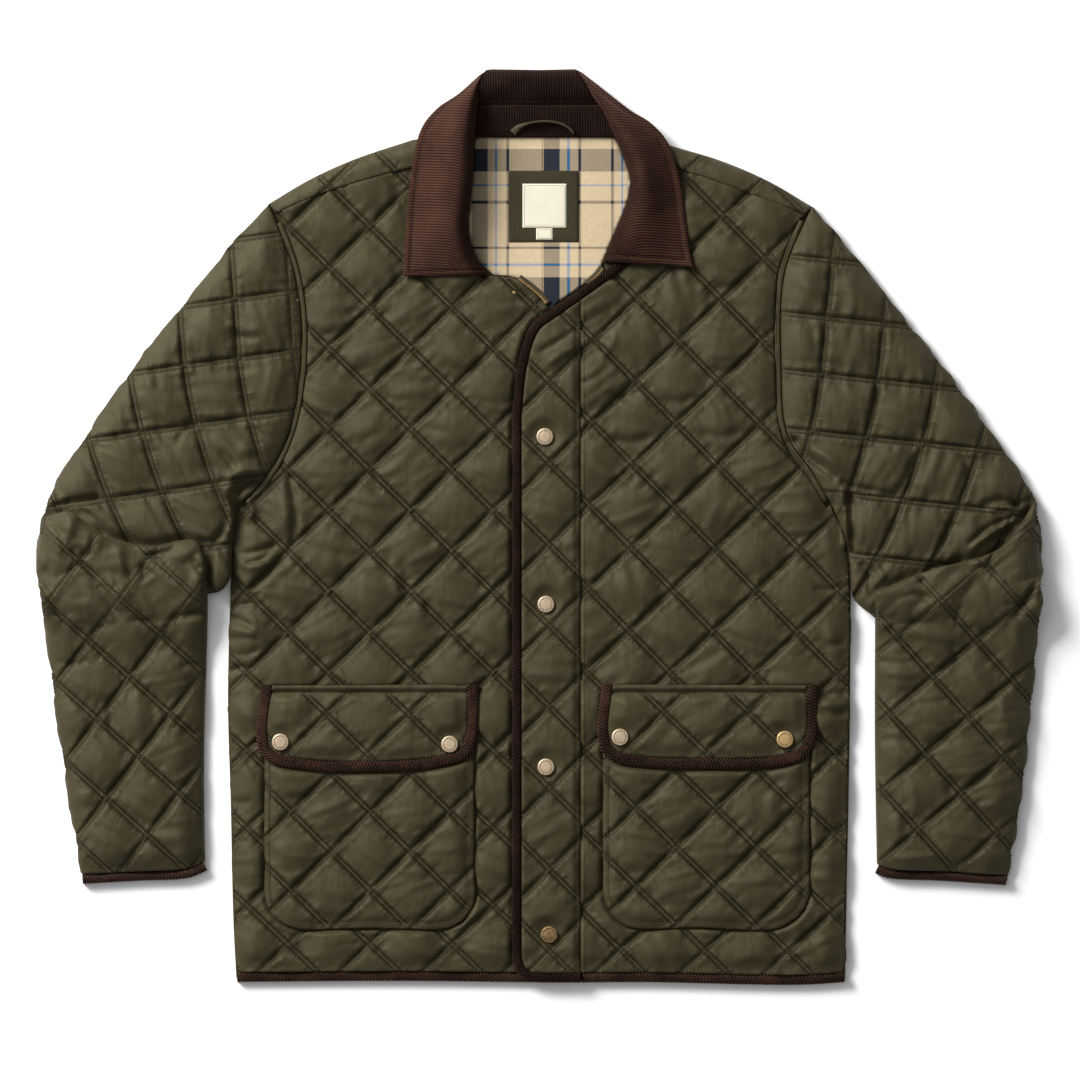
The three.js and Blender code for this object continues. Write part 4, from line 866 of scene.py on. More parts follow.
front_outlines = {
    "right": joined(between(front_armholes["right"], 1, 15, 282), above_hem(side_right),
                    between(hem_top, 0, -290, RIGHT_FREE_EDGE_X - 1),
                    [(RIGHT_FREE_EDGE_X, at_x(hem_top, RIGHT_FREE_EDGE_X)), (RIGHT_FREE_EDGE_X, 178)],
                    tab_edge[::-1], neck_right, curve(SEAM_RIGHT)[::-1]),
    "left": joined(between(front_armholes["left"], 1, 15, 282)[::-1], above_hem(side_left)[::-1],
                   between(hem_top, 0, PLACKET_SEAM_X + 1, 290)[::-1],
                   [(PLACKET_SEAM_X, at_x(hem_top, PLACKET_SEAM_X)),
                    (PLACKET_SEAM_X, at_x(between(placket_inside, 1, 150, 400), PLACKET_SEAM_X))],
                   between(between(placket_inside, 1, 150, 400), 0, PLACKET_SEAM_X + 1, 90)[::-1],
                   neck_left, curve(SEAM_LEFT)),
}


def front_surface(side):
    quilt = dict(QUILTS["front_" + side], low_rows=True)
    side_path = curve({"right": SIDE_RIGHT, "left": SIDE_LEFT}[side], 12)
    armhole = curve({"right": ARMHOLE_RIGHT, "left": ARMHOLE_LEFT}[side], 12)
    pocket = curve({"right": POCKET_RIGHT, "left": POCKET_LEFT}[side], 12)

    def surface(x, y):
        u, v = quilt_coordinates(quilt, x, y)
        from_side = distance(side_path, x, y)
        under_collar = smooth((y - COLLAR_SHADE["y"]) / 20) * smooth((COLLAR_SHADE["half_width"] - np.abs(x)) / 20)
        flat = mix(1, 0.35, under_collar)
        full = flat * fading(from_side, 22) * fading(distance(armhole, x, y), 22) * fading(y + 410, 18)
        z = mix(EDGE_TOP, SEAM_TOP, rounded(from_side + 1, 26)) + folded(FRONT_FOLDS, x, y) * flat
        z = np.maximum(EDGE_TOP - 1, z) + full * quilting(quilt, u, v, 1 if side == "right" else 2)
        z = pressed_under(z, x, y, pocket, PATCH_FLOOR - 0.4, 4)
        if side == "right":
            z = pressed_under(z, x, y, placket_cover, PATCH_FLOOR - 0.4, 3)
        return z

    return quilt, surface


fronts = {}
for side in ("right", "left"):
    quilt, surface = front_surface(side)
    outline = front_outlines[side]
    fronts[side] = surface
    edge = side_right if side == "right" else side_left
    panel = quilted_wall("front_panel_" + side, outline, quilt, surface, FRONT_FLOOR, cloth, pinch=edge)
    hidden = [pocket_edges[side], collar_covers[0 if side == "right" else 1]]
    if side == "right":
        hidden.append(placket_cover)
    sewing = quilt_stitches("front_stitches_" + side, outline, quilt, surface, thread_olive, hidden=hidden)
    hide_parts("front_" + side)


# The armhole welts: the seam's allowances, folded to the body side and topstitched into a ridge
WELT_RISE = 6.6


def ring_path(path, widths, section, low, rise):
    """Closed sections along a path: across is along the path's left, up from low."""
    path = np.array(path, float)
    share = np.linspace(0, 1, len(path))
    rings = np.zeros((len(path), len(section), 3))
    value = lambda size: size(share) if callable(size) else np.full(len(path), float(size))
    for k, (across, up) in enumerate(section):
        rings[:, k, :2] = beside(path, across * value(widths))
        rings[:, k, 2] = value(low) + up * value(rise)
    return rings


def half_round(points):
    """A strip's section: flat below, domed above, with softened edges."""
    turn = np.linspace(0, math.pi, points)
    over = [(-0.5 * math.copysign(abs(math.cos(a)) ** 0.7, math.cos(a)), 0.15 + 0.85 * math.sin(a) ** 0.75)
            for a in turn]
    return over + [(0.46, 0.0), (0.15, 0.0), (-0.15, 0.0), (-0.46, 0.0)]


def raised(rings, amount):
    """Moves a closed loft's surface outwards by an amount at each point."""
    along = np.gradient(rings, axis=0)
    around = np.roll(rings, -1, axis=1) - np.roll(rings, 1, axis=1)
    normal = np.cross(around, along)
    normal /= np.maximum(np.linalg.norm(normal, axis=2), 1e-9)[..., None]
    outwards = rings - rings.mean(axis=1, keepdims=True)
    if (normal * outwards).sum() < 0:
        normal = -normal
    return rings + normal * amount[..., None]


def lofted(name, rings, material, rib=None):
    """A closed skin through rings of points, its ends filled."""
    rows, around = rings.shape[:2]
    bm, i, j = grid_of(rows - 1, around)
    j = j % around
    set_places(bm, *rings[i, j].T)
    if rib is not None:
        layer = bm.verts.layers.float.new("rib")
        for vert, value in zip(bm.verts, rib[i, j].tolist()):
            vert[layer] = value
    bmesh.ops.remove_doubles(bm, verts=bm.verts, dist=0.0005)
    bmesh.ops.holes_fill(bm, edges=[edge for edge in bm.edges if edge.is_boundary], sides=0)
    faces_out(bm)
    return new_piece(name, bm, material)


def running_length(path):
    path = np.array(path, float)
    return np.concatenate([[0], np.cumsum(np.linalg.norm(np.diff(path, axis=0), axis=1))])


for side, armhole in (("right", armhole_right), ("left", armhole_left)):
    middle = respaced(between(beside(armhole, WELT_WIDTH / 2 + SEAM_GAP), 1, 20, 281), 1.6)
    along = running_length(middle)[:, None]
    from_armpit = along[:, 0] if side == "left" else along[-1, 0] - along[:, 0]
    rings = ring_path(middle, WELT_WIDTH + 0.6, half_round(9), FRONT_FLOOR, WELT_RISE)
    tucked = mix(0.3, 1, rounded(from_armpit, 13))[:, None]
    rings[:, :, 2] = FRONT_FLOOR + (rings[:, :, 2] - FRONT_FLOOR) * tucked
    upper_side = rings[:, :, 2] > FRONT_FLOOR + 1
    rings[:, :, 2] += 0.35 * soft_noise(along / 7, np.full_like(along, 3.0), 51) * upper_side
    gathered = folded(ARMPIT_FOLDS, rings[:, :, 0], rings[:, :, 1])
    rings[:, :, 2] += np.clip(gathered, 1.2 - WELT_RISE, 4) * upper_side
    welt = lofted("armhole_ridge_" + side, rings, cloth)
    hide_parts("armhole_welt_" + side)
    rows = [beside(middle, offset) for offset in (-1.4, 1.4)]
    rows = [respaced(row[8:-8], 1.8) for row in rows]
    runs = [np.column_stack([row, np.full(len(row), FRONT_FLOOR + WELT_RISE * 0.98)]) for row in rows]
    sewing = stitched("armhole_stitches_" + side, runs, thread_olive)


# The placket: a quilted strip with a rib cloth edge that closes over the zip and the right front
PLACKET_SEAM_TOP = 12
PLACKET_QUILT = QUILTS["placket"]
SNAP_PLACES = {"placket_1": (4.5, 82), "placket_2": (5.5, -72), "placket_3": (5.5, -221.5),
               "placket_4": (8.5, -375.5), "flap_right_1": (-238.5, -198.5), "flap_right_2": (-83, -200.5),
               "flap_left_1": (73.5, -194), "flap_left_2": (225, -196)}
SNAP_RADIUS = 7.8
PLACKET_FOLDS = rows_of(
    FOLD_COLUMNS,
    (3, -3, [(-1.8, 159.2), (14.7, 168.4), (35, 181.2)]),
    (4, 2.4, [(5.5, 147.2), (22.1, 159.2), (35, 166.5)]))


def pulled_down(x, y):
    """The cloth sinks in towards a snap."""
    full = np.ones_like(x)
    for sx, sy in SNAP_PLACES.values():
        full = np.minimum(full, mix(0.12, 1, smooth((np.hypot(x - sx, y - sy) - SNAP_RADIUS) / 12)))
    return full


def placket_surface(x, y):
    u, v = quilt_coordinates(PLACKET_QUILT, x, y)
    from_seam = PLACKET_SEAM_X - x
    full = 0.78 * fading(y + 401, 16) * pulled_down(x, y) * mix(0.35, 1, smooth(from_seam / 8))
    z = PLACKET_SEAM_TOP + full * quilting(PLACKET_QUILT, u, v, 3)
    z = z + folded(PLACKET_FOLDS, x, y) - 1.6 * np.exp(-((x - 33.5) / 1.6) ** 2)
    return z - 2.2 * (1 - smooth(from_seam / 3))


placket_outline = joined(between(placket_inside, 0, -40, PLACKET_SEAM_X - 1),
                         [(PLACKET_SEAM_X, placket_inside[-1, 1]),
                          (PLACKET_SEAM_X, at_x(between(placket_inside, 1, 150, 400), PLACKET_SEAM_X))])
placket = quilted_wall("placket_panel", placket_outline, PLACKET_QUILT, placket_surface, PATCH_FLOOR, cloth)
sewing = quilt_stitches("placket_stitches", placket_outline, PLACKET_QUILT, placket_surface, thread_olive)
low_y, high_y = placket_inside[-1, 1] + 3, 205
edge_rows = [seam_stitches([(33.5, low_y), (33.5, high_y)], placket_surface, 1.8)]
edge_rows.append(seam_stitches([(40.5, low_y), (40.5, high_y)], fronts["left"], 1.8))
topstitch = stitched("placket_topstitch", edge_rows, thread_olive)
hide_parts("placket")


# The patch pockets: quilted, with rounded lower corners, sewn down all round and topstitched
PATCH_SEAM_TOP = 11.2
FLAP_FLOOR = 11.5
FLAP_RIGHT = [(-256, -145.5), (-260.5, -185), (-257.5, -208), (-244, -219), (-221, -223.5), (-165.5, -226.5),
              (-92, -221.5), (-66, -212.5), (-58, -192.5), (-56, -146)]
FLAP_LEFT = [(57, -144.5), (52.5, -187.5), (56, -206), (69, -217), (92, -221.5), (147, -223.5), (221, -221),
             (244, -212.5), (254, -195), (255, -146.5)]
flap_edges = {"right": curve(FLAP_RIGHT, 3), "left": curve(FLAP_LEFT, 3)}


def pocket_surface(side):
    quilt = QUILTS["pocket_" + side]
    edge = curve({"right": POCKET_RIGHT, "left": POCKET_LEFT}[side], 8)
    flap = flap_edges[side][::4]

    def surface(x, y):
        u, v = quilt_coordinates(quilt, x, y)
        d = distance(edge, x, y)
        z = mix(PATCH_FLOOR + 1.8, PATCH_SEAM_TOP, rounded(d, 12)) - 0.9 * np.exp(-((d - 6) / 1.8) ** 2)
        z += fading(d, 18) * quilting(quilt, u, v, 4 if side == "right" else 5)
        return pressed_under(z, x, y, flap, FLAP_FLOOR - 0.4, 5)

    return quilt, surface


for side in ("right", "left"):
    quilt, surface = pocket_surface(side)
    outline = joined(pocket_edges[side])
    patch = quilted_wall("pocket_patch_" + side, outline, quilt, surface, PATCH_FLOOR, cloth)
    sewing = quilt_stitches("pocket_stitches_" + side, outline, quilt, surface, thread_olive,
                            hidden=[flap_edges[side]], margin=5)
    rim = beside(pocket_edges[side], 4.5)
    rim = rim[~inside(flap_edges[side], rim[:, 0], rim[:, 1])]
    topstitch = stitched("pocket_topstitch_" + side, [seam_stitches(rim, surface, 1.8)], thread_olive)
    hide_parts("pocket_" + side)


# Rib cloth: fine-waled cotton corduroy, dark brown. Its wales are modelled, and the colour is painted lighter on top
# of a wale, a painted highlight, and dark in the valleys between, painted shade.
WALE = 2.5


def rib_cloth(name, valley, wale, roughness=0.92):
    material = bpy.data.materials.new(name)
    tree, shader = nodes_of(material)
    links = tree.links
    rib = add_node(tree, "ShaderNodeAttribute", attribute_name="rib")
    place = add_node(tree, "ShaderNodeTexCoord")
    nap = add_node(tree, "ShaderNodeTexNoise", Scale=620.0, Detail=4.0, Roughness=0.75)
    links.new(place.outputs["Object"], nap.inputs["Vector"])
    worn = add_node(tree, "ShaderNodeTexNoise", Scale=34.0, Detail=4.0, Roughness=0.65)
    links.new(place.outputs["Object"], worn.inputs["Vector"])
    height = add_node(tree, "ShaderNodeMath", operation="MULTIPLY_ADD")
    links.new(nap.outputs["Fac"], height.inputs[0])
    height.inputs[1].default_value = 1.3
    links.new(rib.outputs["Fac"], height.inputs[2])
    wear = add_node(tree, "ShaderNodeMath", operation="MULTIPLY_ADD")
    links.new(worn.outputs["Fac"], wear.inputs[0])
    wear.inputs[1].default_value = 1.0
    links.new(height.outputs[0], wear.inputs[2])
    # Painted highlight and shade: the rib value runs the colour from the dark valley colour to the light wale colour.
    ramp = add_node(tree, "ShaderNodeValToRGB")
    ramp.color_ramp.elements[0].position = 0.66
    ramp.color_ramp.elements[0].color = (*valley, 1)
    ramp.color_ramp.elements[1].position = 1.0
    ramp.color_ramp.elements[1].color = (*wale, 1)
    half = add_node(tree, "ShaderNodeMath", operation="MULTIPLY")
    links.new(wear.outputs[0], half.inputs[0])
    half.inputs[1].default_value = 0.46
    links.new(half.outputs[0], ramp.inputs["Fac"])
    links.new(ramp.outputs["Color"], shader.inputs["Base Color"])
    shader.inputs["Roughness"].default_value = roughness
    shader.inputs["Specular IOR Level"].default_value = 0.06
    shader.inputs["Sheen Weight"].default_value = 0.12
    shader.inputs["Sheen Roughness"].default_value = 0.4
    shader.inputs["Sheen Tint"].default_value = (0.75, 0.38, 0.26, 1)
    bump = add_node(tree, "ShaderNodeBump", Strength=0.5, Distance=0.0003)
    links.new(nap.outputs["Fac"], bump.inputs["Height"])
    links.new(bump.outputs["Normal"], shader.inputs["Normal"])
    return material


def wales(phase, wale=WALE, narrow=1.25):
    """The rib's height from 0 in a valley to 1 on a wale, for a phase in millimetres."""
    return np.abs(np.cos(np.pi * phase / wale)) ** narrow


binding_cloth = rib_cloth("dark_rib_binding", (0.0005, 0.00025, 0.0002), (0.062, 0.0305, 0.0195))
thread_brown = shell_cloth("brown_thread", (0.0174, 0.00957, 0.00609), (0.0348, 0.01914, 0.01218), thread=True)


def rib_strip(name, node, path, width, low, rise, material, lean=-0.8, points=13, step=0.6):
    """A folded rib cloth strip: ribs slant across it."""
    middle = respaced(path, step)
    section = half_round(points)
    rings = ring_path(middle, width, section, low, rise)
    across = np.array([s[0] for s in section]) * (width if not callable(width) else 9)
    phase = running_length(middle)[:, None] + lean * across[None, :]
    rib = wales(phase, 3.0, 2.0)
    upper = np.array([s[1] > 0.05 for s in section])[None, :]
    rings = raised(rings, 0.8 * (rib - 0.5) * upper)
    strip = lofted(name, rings, material, rib)
    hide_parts(node)
    return strip


# The pocket flaps: quilted, bound along their three free edges, closed by two snaps each
FLAP_SEAM_TOP = 14.6
BINDING_WIDTH = 10.6


def flap_surface(side):
    quilt = dict(QUILTS["flap_" + side], plain_above=-153)
    edge = beside(flap_edges[side], BINDING_WIDTH)[::3]

    def surface(x, y):
        u, v = quilt_coordinates(quilt, x, y)
        d = distance(edge, x, y)
        below_band = smooth((-152 - y) / 9)
        full = 0.85 * fading(d, 14) * pulled_down(x, y) * below_band
        z = FLAP_SEAM_TOP + full * quilting(quilt, u, v, 6 if side == "right" else 7)
        band = 2.2 * np.exp(-((y + 148.4) / 2.4) ** 4) * (1 + 0.25 * soft_noise(x / 9, y * 0, 91))
        return z + band - 1.8 * np.exp(-((y + 152.6) / 1.5) ** 2)

    return quilt, surface


for side in ("right", "left"):
    quilt, surface = flap_surface(side)
    outline = joined(beside(flap_edges[side], BINDING_WIDTH - 0.4))
    flap = quilted_wall("flap_panel_" + side, outline, quilt, surface, FLAP_FLOOR, cloth)
    ends = outline[0], outline[-1]
    band = [(ends[0][0] - 9, -153), (ends[1][0] + 9, -153), (ends[1][0] + 9, -140), (ends[0][0] - 9, -140)]
    sewing = quilt_stitches("flap_stitches_" + side, outline, quilt, surface, thread_olive, hidden=[band])
    row = [(ends[0][0] + 1, -152), (ends[1][0] - 1, -152)]
    topstitch = stitched("flap_topstitch_" + side, [seam_stitches(row, surface, 1.8)], thread_olive)
    rib_strip("flap_edging_" + side, "flap_binding_" + side, beside(flap_edges[side], BINDING_WIDTH / 2),
                        BINDING_WIDTH, FLAP_FLOOR, 5.4, binding_cloth)
    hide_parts("flap_" + side)


# The hem and placket bindings: one rib cloth strip folded over the raw edge
def hem_line(west, east):
    x = np.linspace(west, east, max(3, round((east - west) / 4)))
    order = np.argsort(hem[:, 0])
    return np.column_stack([x, np.interp(x, hem[order, 0], hem[order, 1]) + HEM_WIDTH / 2])


rib_strip("hem_edging_right", "hem_binding_right", hem_line(-278.5, RIGHT_FREE_EDGE_X), HEM_WIDTH - 0.3,
          FRONT_FLOOR, 4.2, binding_cloth)
rib_strip("hem_edging_left", "hem_binding_left", hem_line(PLACKET_SEAM_X + 0.5, 280), HEM_WIDTH - 0.3,
          FRONT_FLOOR, 5.4, binding_cloth)
rib_strip("hem_edging_back", "hem_binding_back", hem_line(-278.5, 280), HEM_WIDTH - 0.3, 0, 3.7, binding_cloth,
          points=9, step=0.75)
# A darker copy of the binding cloth for the placket edge: painted shade.
darker_placket_rib = rib_cloth("placket_rib_painted_shade", (0.0006, 0.0003, 0.00024), (0.028, 0.013, 0.009))
rib_strip("placket_edging", "placket_binding", placket_edge, HEM_WIDTH - 0.3, PATCH_FLOOR, 5.8, darker_placket_rib,
          step=0.7)


# The sleeves: quilted tubes pressed flat. Each upper arm runs out from the armhole, and the
# forearm is folded down over it at the elbow, so its top edge lies on the upper arm.
UPPER = {
    "right": {"outer": [(-249.5, 296), (-294.5, 244.5), (-355, 171), (-408.5, 97.5), (-453.5, 24), (-463, -20)],
              "end": [(-463, -20), (-441.5, -48), (-386.5, -60.5), (-331, -66), (-304.5, -62.5)],
              "inner": [(-304.5, -62.5), (-293.5, -60), (-285, -48), (-283.2, -28), (-281, -6), (-279, 18.5)]},
    "left": {"outer": [(250, 293.5), (291.5, 244.5), (352.5, 171), (407.5, 97.5), (455.5, 24), (462, -31.5)],
             "end": [(462, -31.5), (441.5, -59), (377, -79), (322, -90), (309, -85.5)],
             "inner": [(309, -85.5), (288, -66), (286, -45), (281, -12), (268.5, 19.5)]},
}
FOREARM = {
    "right": {"outer": [(-456, 8), (-463, -22), (-454.5, -105), (-434, -252), (-420.5, -329.5)],
              "cuff": [(-420.5, -329.5), (-368, -326.5), (-324, -324), (-308, -317.5)],
              "inner": [(-308, -317.5), (-309, -215.5), (-305.5, -68), (-306.5, -38.5)],
              "fold": [(-306.5, -38.5), (-316.5, -14), (-359, -18.5), (-391, -12), (-407, -6), (-419.5, 3), (-427, 11), (-434, 13.5),
                       (-442, 12), (-456, 8)]},
    "left": {"outer": [(455.5, 24), (462, -40.5), (456.5, -123.5), (440.5, -270.5), (428.5, -330.5)],
             "cuff": [(428.5, -330.5), (368, -326.5), (320, -324), (310, -320)],
             "inner": [(310, -320), (308, -197), (308, -73.5), (307.5, -60.5)],
             "fold": [(307.5, -60.5), (357, -41), (416, -24), (435, -7.5), (455.5, 24)]},
}
SLEEVE_EDGE_TOP = 5.2
cuff_cloth = rib_cloth("brown_rib_cuff", (0.00522, 0.00261, 0.00174), (0.0696, 0.03654, 0.0261))
SLEEVE_SEAM_TOP = 15
ELBOW_RISE = 8
SLEEVE_SLIT = {"low": 3.6, "high": 5.8, "wall": 9}
SLEEVE_FOLDS = ARMPIT_FOLDS + rows_of(
    FOLD_COLUMNS,
    (3.2, -5, [(-313.7, -13.8), (-299.9, -13.8), (-292.6, -5.5), (-288, 5.5)]),
    (3.2, -4.5, [(-299.9, -18.4), (-304.5, -35.9), (-302.7, -57)]),
    (3, -3.6, [(-449, 17.5), (-432.4, 23), (-403, 27.6)]),
    (3.2, -4, [(-423.2, 16.6), (-407.6, 3.7), (-398.4, -10.1)]),
    (3, -2.6, [(-334.9, 73.6), (-325.7, 88.3), (-312.8, 93.8)]),
    (3.4, -2, [(-287, 180.3), (-272.3, 173), (-255.8, 173)]),
    (3.4, 1.8, [(-288.9, 187.7), (-272.3, 180.3), (-255.8, 180.3)]),
    (4, -1.6, [(-357, 152.7), (-349.6, 123.3)]),
    (4, 1.5, [(-362.5, 150.9), (-356, 121.4)]),
    (4, -1.6, [(-393.8, 106.7), (-386.4, 73.6)]),
    (4.4, 1.5, [(-266.8, 207.9), (-255.8, 160.1)]),
    (2.8, -4.2, [(391.9, -18.4), (409.4, -2.8), (434.2, 8.3)]),
    (2.8, -4, [(399.3, -23), (418.6, -11), (437.9, 2.8)]),
    (2.8, 3, [(395.6, -21.2), (414, -6.4), (436.1, 5.5)]),
    (3, -4, [(403, 18.4), (423.2, 23.9), (443.4, 16.6)]),
    (2.8, 2.6, [(408.5, 12), (425, 16.6), (441.6, 11)]),
    (2.8, -3.4, [(430.6, 19.3), (445.3, 23), (454.5, 25.8)]),
    (3, -2.6, [(345, 66.2), (336.7, 47.8)]),
    (3, -2.8, [(386.4, 66.2), (395.6, 46)]),
    (3, -3.6, [(291.6, -31.3), (301.8, -42.3), (301.8, -60.7)]),
    (3, 2.6, [(296.2, -27.6), (308.2, -36.8), (316.5, -49.7)]),
    (4, -1.6, [(305.4, 147.2), (312.8, 114.1)]),
    (4, 1.5, [(347.8, 161.9), (355.1, 128.8)]),
    (4, -1.6, [(250.2, 184), (255.8, 152.7)]))
FOREARM_FOLDS = rows_of(
    FOLD_COLUMNS,
    (9, 6, [(-313.7, -13.8), (-310, -31.3), (-311, -60.7)]),
    (3.4, -3, [(-407.6, -3.7), (-412.2, -20.2), (-417.7, -31.3)]),
    (5, 2.4, [(-428.7, 11), (-431.5, -3.7), (-437.9, -18.4)]),
    (4.5, 2.2, [(-388.2, -13.8), (-384.6, -31.3), (-380.9, -47.8)]),
    (3.2, -2.4, [(-380, -27.6), (-375.4, -51.5)]),
    (3.4, -2, [(-306.4, -79.1), (-320.2, -81), (-334.9, -88.3)]),
    (3.4, -2, [(-306.4, -130.6), (-320.2, -127), (-333, -130.6)]),
    (3.4, -2, [(-306.4, -187.7), (-318.3, -190.4), (-331.2, -185.8)]),
    (3.6, -1.8, [(-441.6, -60.7), (-426.9, -66.2), (-412.2, -64.4)]),
    (3.6, -1.8, [(-443.4, -123.3), (-428.7, -127), (-414, -123.3)]),
    (4, -1.6, [(-395.6, -160.1), (-391.9, -191.4)]),
    (4, 1.5, [(-401.1, -160.1), (-398.4, -191.4)]),
    (3, -2.8, [(325.7, -68.1), (344.1, -62.6), (360.6, -69)]),
    (3, 2.2, [(358.8, -47.8), (372.6, -36.8), (386.4, -31.3)]),
    (3.4, -2, [(454.5, -68.1), (439.8, -72.7), (425, -69.9)]),
    (3.6, -1.8, [(311, -123.3), (325.7, -127), (340.4, -123.3)]),
    (4, -1.6, [(379, -104.9), (383.6, -138)]),
    (4, 1.5, [(423.2, -150.9), (426, -182.2)]),
    (3.6, -1.8, [(311, -198.7), (324.8, -196), (340.4, -200.6)]))


def upper_surface(side, quilt):
    shape = UPPER[side]
    outer, inner = curve(shape["outer"], 12), curve(shape["inner"], 12)
    armhole = curve({"right": ARMHOLE_RIGHT, "left": ARMHOLE_LEFT}[side], 12)

    def surface(x, y):
        u, v = quilt_coordinates(quilt, x, y)
        d_outer, d_arm = distance(outer, x, y), distance(armhole, x, y)
        across = rounded(d_outer, 34) * rounded(distance(inner, x, y) + 2, 16) * rounded(d_arm + 3, 26)
        full = fading(d_outer, 24) * fading(d_arm, 26)
        z = (mix(SLEEVE_EDGE_TOP, SLEEVE_SEAM_TOP, across) + folded(SLEEVE_FOLDS, x, y)
             + full * quilting(quilt, u, v, 8 if side == "right" else 9))
        from_edge = np.minimum.reduce([d_outer, d_arm, distance(inner, x, y)])
        return np.maximum(z, mix(4.6, 7.4, smooth(from_edge / 8)))

    return surface


def forearm_surface(side, quilt, upper_top):
    shape = FOREARM[side]
    sides = curve(shape["outer"], 12), curve(shape["inner"], 12)
    fold = curve(shape["fold"], 12)
    cuff_y = shape["cuff"][0][1] + HEM_WIDTH

    def surface(x, y):
        u, v = quilt_coordinates(quilt, x, y)
        d = np.minimum(distance(sides[0], x, y), distance(sides[1], x, y))
        high = SLEEVE_SEAM_TOP + ELBOW_RISE * smooth((y + 130) / 80) - 5 * (1 - smooth((y - cuff_y) / 22))
        round_ = rounded(d, 30) * rounded(distance(fold, x, y) + 6, 22)
        full = fading(d, 24) * fading(y - cuff_y, 22)
        z = mix(SLEEVE_EDGE_TOP, high, round_) + full * quilting(quilt, u, v, 10 if side == "right" else 11)
        on_arm = upper_top(x, y) + mix(1.2, 8, rounded(np.minimum(d, distance(fold, x, y)), 9))
        z = np.maximum(z, mix(z, on_arm, smooth((y + 108) / 40)))
        return z + folded(FOREARM_FOLDS, x, y)

    return surface


def slit(outline, low, high):
    """A flat block to cut the gap between a sleeve's two layers."""
    bm = bmesh.new()
    face = bm.faces.new([bm.verts.new((x, y, low)) for x, y in outline])
    grown = bmesh.ops.extrude_face_region(bm, geom=[face])["geom"]
    bmesh.ops.translate(bm, vec=(0, 0, high - low), verts=[g for g in grown if isinstance(g, bmesh.types.BMVert)])
    faces_out(bm)
    bmesh.ops.scale(bm, vec=(MM, MM, MM), verts=bm.verts)
    mesh = bpy.data.meshes.new("slit")
    bm.to_mesh(mesh)
    bm.free()
    block = bpy.data.objects.new("slit", mesh)
    bpy.context.scene.collection.objects.link(block)
    return block


def cut_open(piece, block):
    """Cuts a block out of a piece, for good."""
    cut = piece.modifiers.new("opening", "BOOLEAN")
    cut.operation = "DIFFERENCE"
    cut.solver = "EXACT"
    cut.object = block
    bpy.context.view_layer.update()
    mesh = bpy.data.meshes.new_from_object(piece.evaluated_get(bpy.context.evaluated_depsgraph_get()))
    piece.modifiers.remove(cut)
    old = piece.data
    piece.data = mesh
    bpy.data.meshes.remove(old)
    bpy.data.objects.remove(block)


for side, sign in (("right", 1), ("left", -1)):
    shape = UPPER[side]
    quilt = dict(QUILTS["upper_" + side], bend=sign, bend_y=171 if side == "right" else 150)
    armhole = {"right": armhole_right[::-1], "left": armhole_left}[side]
    outer = curve(shape["outer"])
    outline = joined(outer, curve(shape["end"]), curve(shape["inner"]), armhole)
    surface = upper_surface(side, quilt)
    end = curve(shape["end"], 12)
    fold_line = curve(FOREARM[side]["fold"], 12)

    def turned(x, y, surface=surface, end=end, fold_line=fold_line):
        tucked = surface(x, y) - 5.5 * np.exp(-(distance(fold_line, x, y) / 6) ** 2)
        z = mix(SLEEVE_EDGE_TOP, tucked, rounded(distance(end, x, y) + 3, 13))
        return np.maximum(z, mix(4.6, 7.4, smooth(distance(end, x, y) / 8)))

    upper = quilted_wall("upper_arm_" + side, outline, quilt, turned, 0.4, cloth, pinch=outer)
    mouth = armhole[4:-9:3]
    around = joined(curve(shape["outer"], 22)[1:], curve(shape["end"], 22), curve(shape["inner"], 22))
    gap = np.vstack([beside(around, SLEEVE_SLIT["wall"] * sign), mouth + (20 * sign, 0)])
    cut_open(upper, slit(gap, SLEEVE_SLIT["low"], SLEEVE_SLIT["high"]))
    fore = FOREARM[side]
    fore_quilt = QUILTS["fore_" + side]
    fore_sides = curve(fore["outer"]), curve(fore["inner"])
    cuff, fold = curve(fore["cuff"]), curve(fore["fold"])
    cuff_top = cuff + (0, HEM_WIDTH)
    fore_outline = joined(between(fore_sides[0], 1, cuff_top[-1, 1] - 16, 400), cuff_top,
                          between(fore_sides[1], 1, cuff_top[-1, 1] + 3, 400), fold)
    fore_top = forearm_surface(side, fore_quilt, surface)
    forearm = quilted_wall("forearm_" + side, fore_outline, fore_quilt, fore_top, 0.1, cloth, pinch=fore_sides[0])
    walls = [between(beside(path, SLEEVE_SLIT["wall"] * sign), 1, -400, -30) for path in fore_sides]
    tube = np.vstack([walls[0], walls[0][-1:] - (0, 20), walls[1][:1] - (0, 20), walls[1]])
    cut_open(forearm, slit(tube, SLEEVE_SLIT["low"], SLEEVE_SLIT["high"]))
    sewing = quilt_stitches("upper_arm_stitches_" + side, outline, quilt, turned, thread_olive, hidden=[fore_outline])
    fore_sewing = quilt_stitches("forearm_stitches_" + side, fore_outline, fore_quilt, fore_top, thread_olive)
    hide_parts("sleeve_" + side)
    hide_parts("sleeve_" + side)
    edging = rib_strip("cuff_edging_" + side, "cuff_binding_" + side, cuff + (0, HEM_WIDTH / 2), HEM_WIDTH - 0.3,
                       0, 10, cuff_cloth)
    ends = cuff[[0, -1], 0] + np.array([9, -9]) * sign
    cut_open(edging, slit([(ends[0], -350), (ends[1], -350), (ends[1], -300), (ends[0], -300)],
                          SLEEVE_SLIT["low"], SLEEVE_SLIT["high"]))


# The collar: two leaves of rib cloth that fall from the roll to their points, topstitched
# near the edge, and the roll that joins them behind the neck.
STAND_SEAM_Y = 387
ROLL_TOP_Y = 419.5
LEAF_CLOTH = 4.0
ROLL_DROP = 9.0
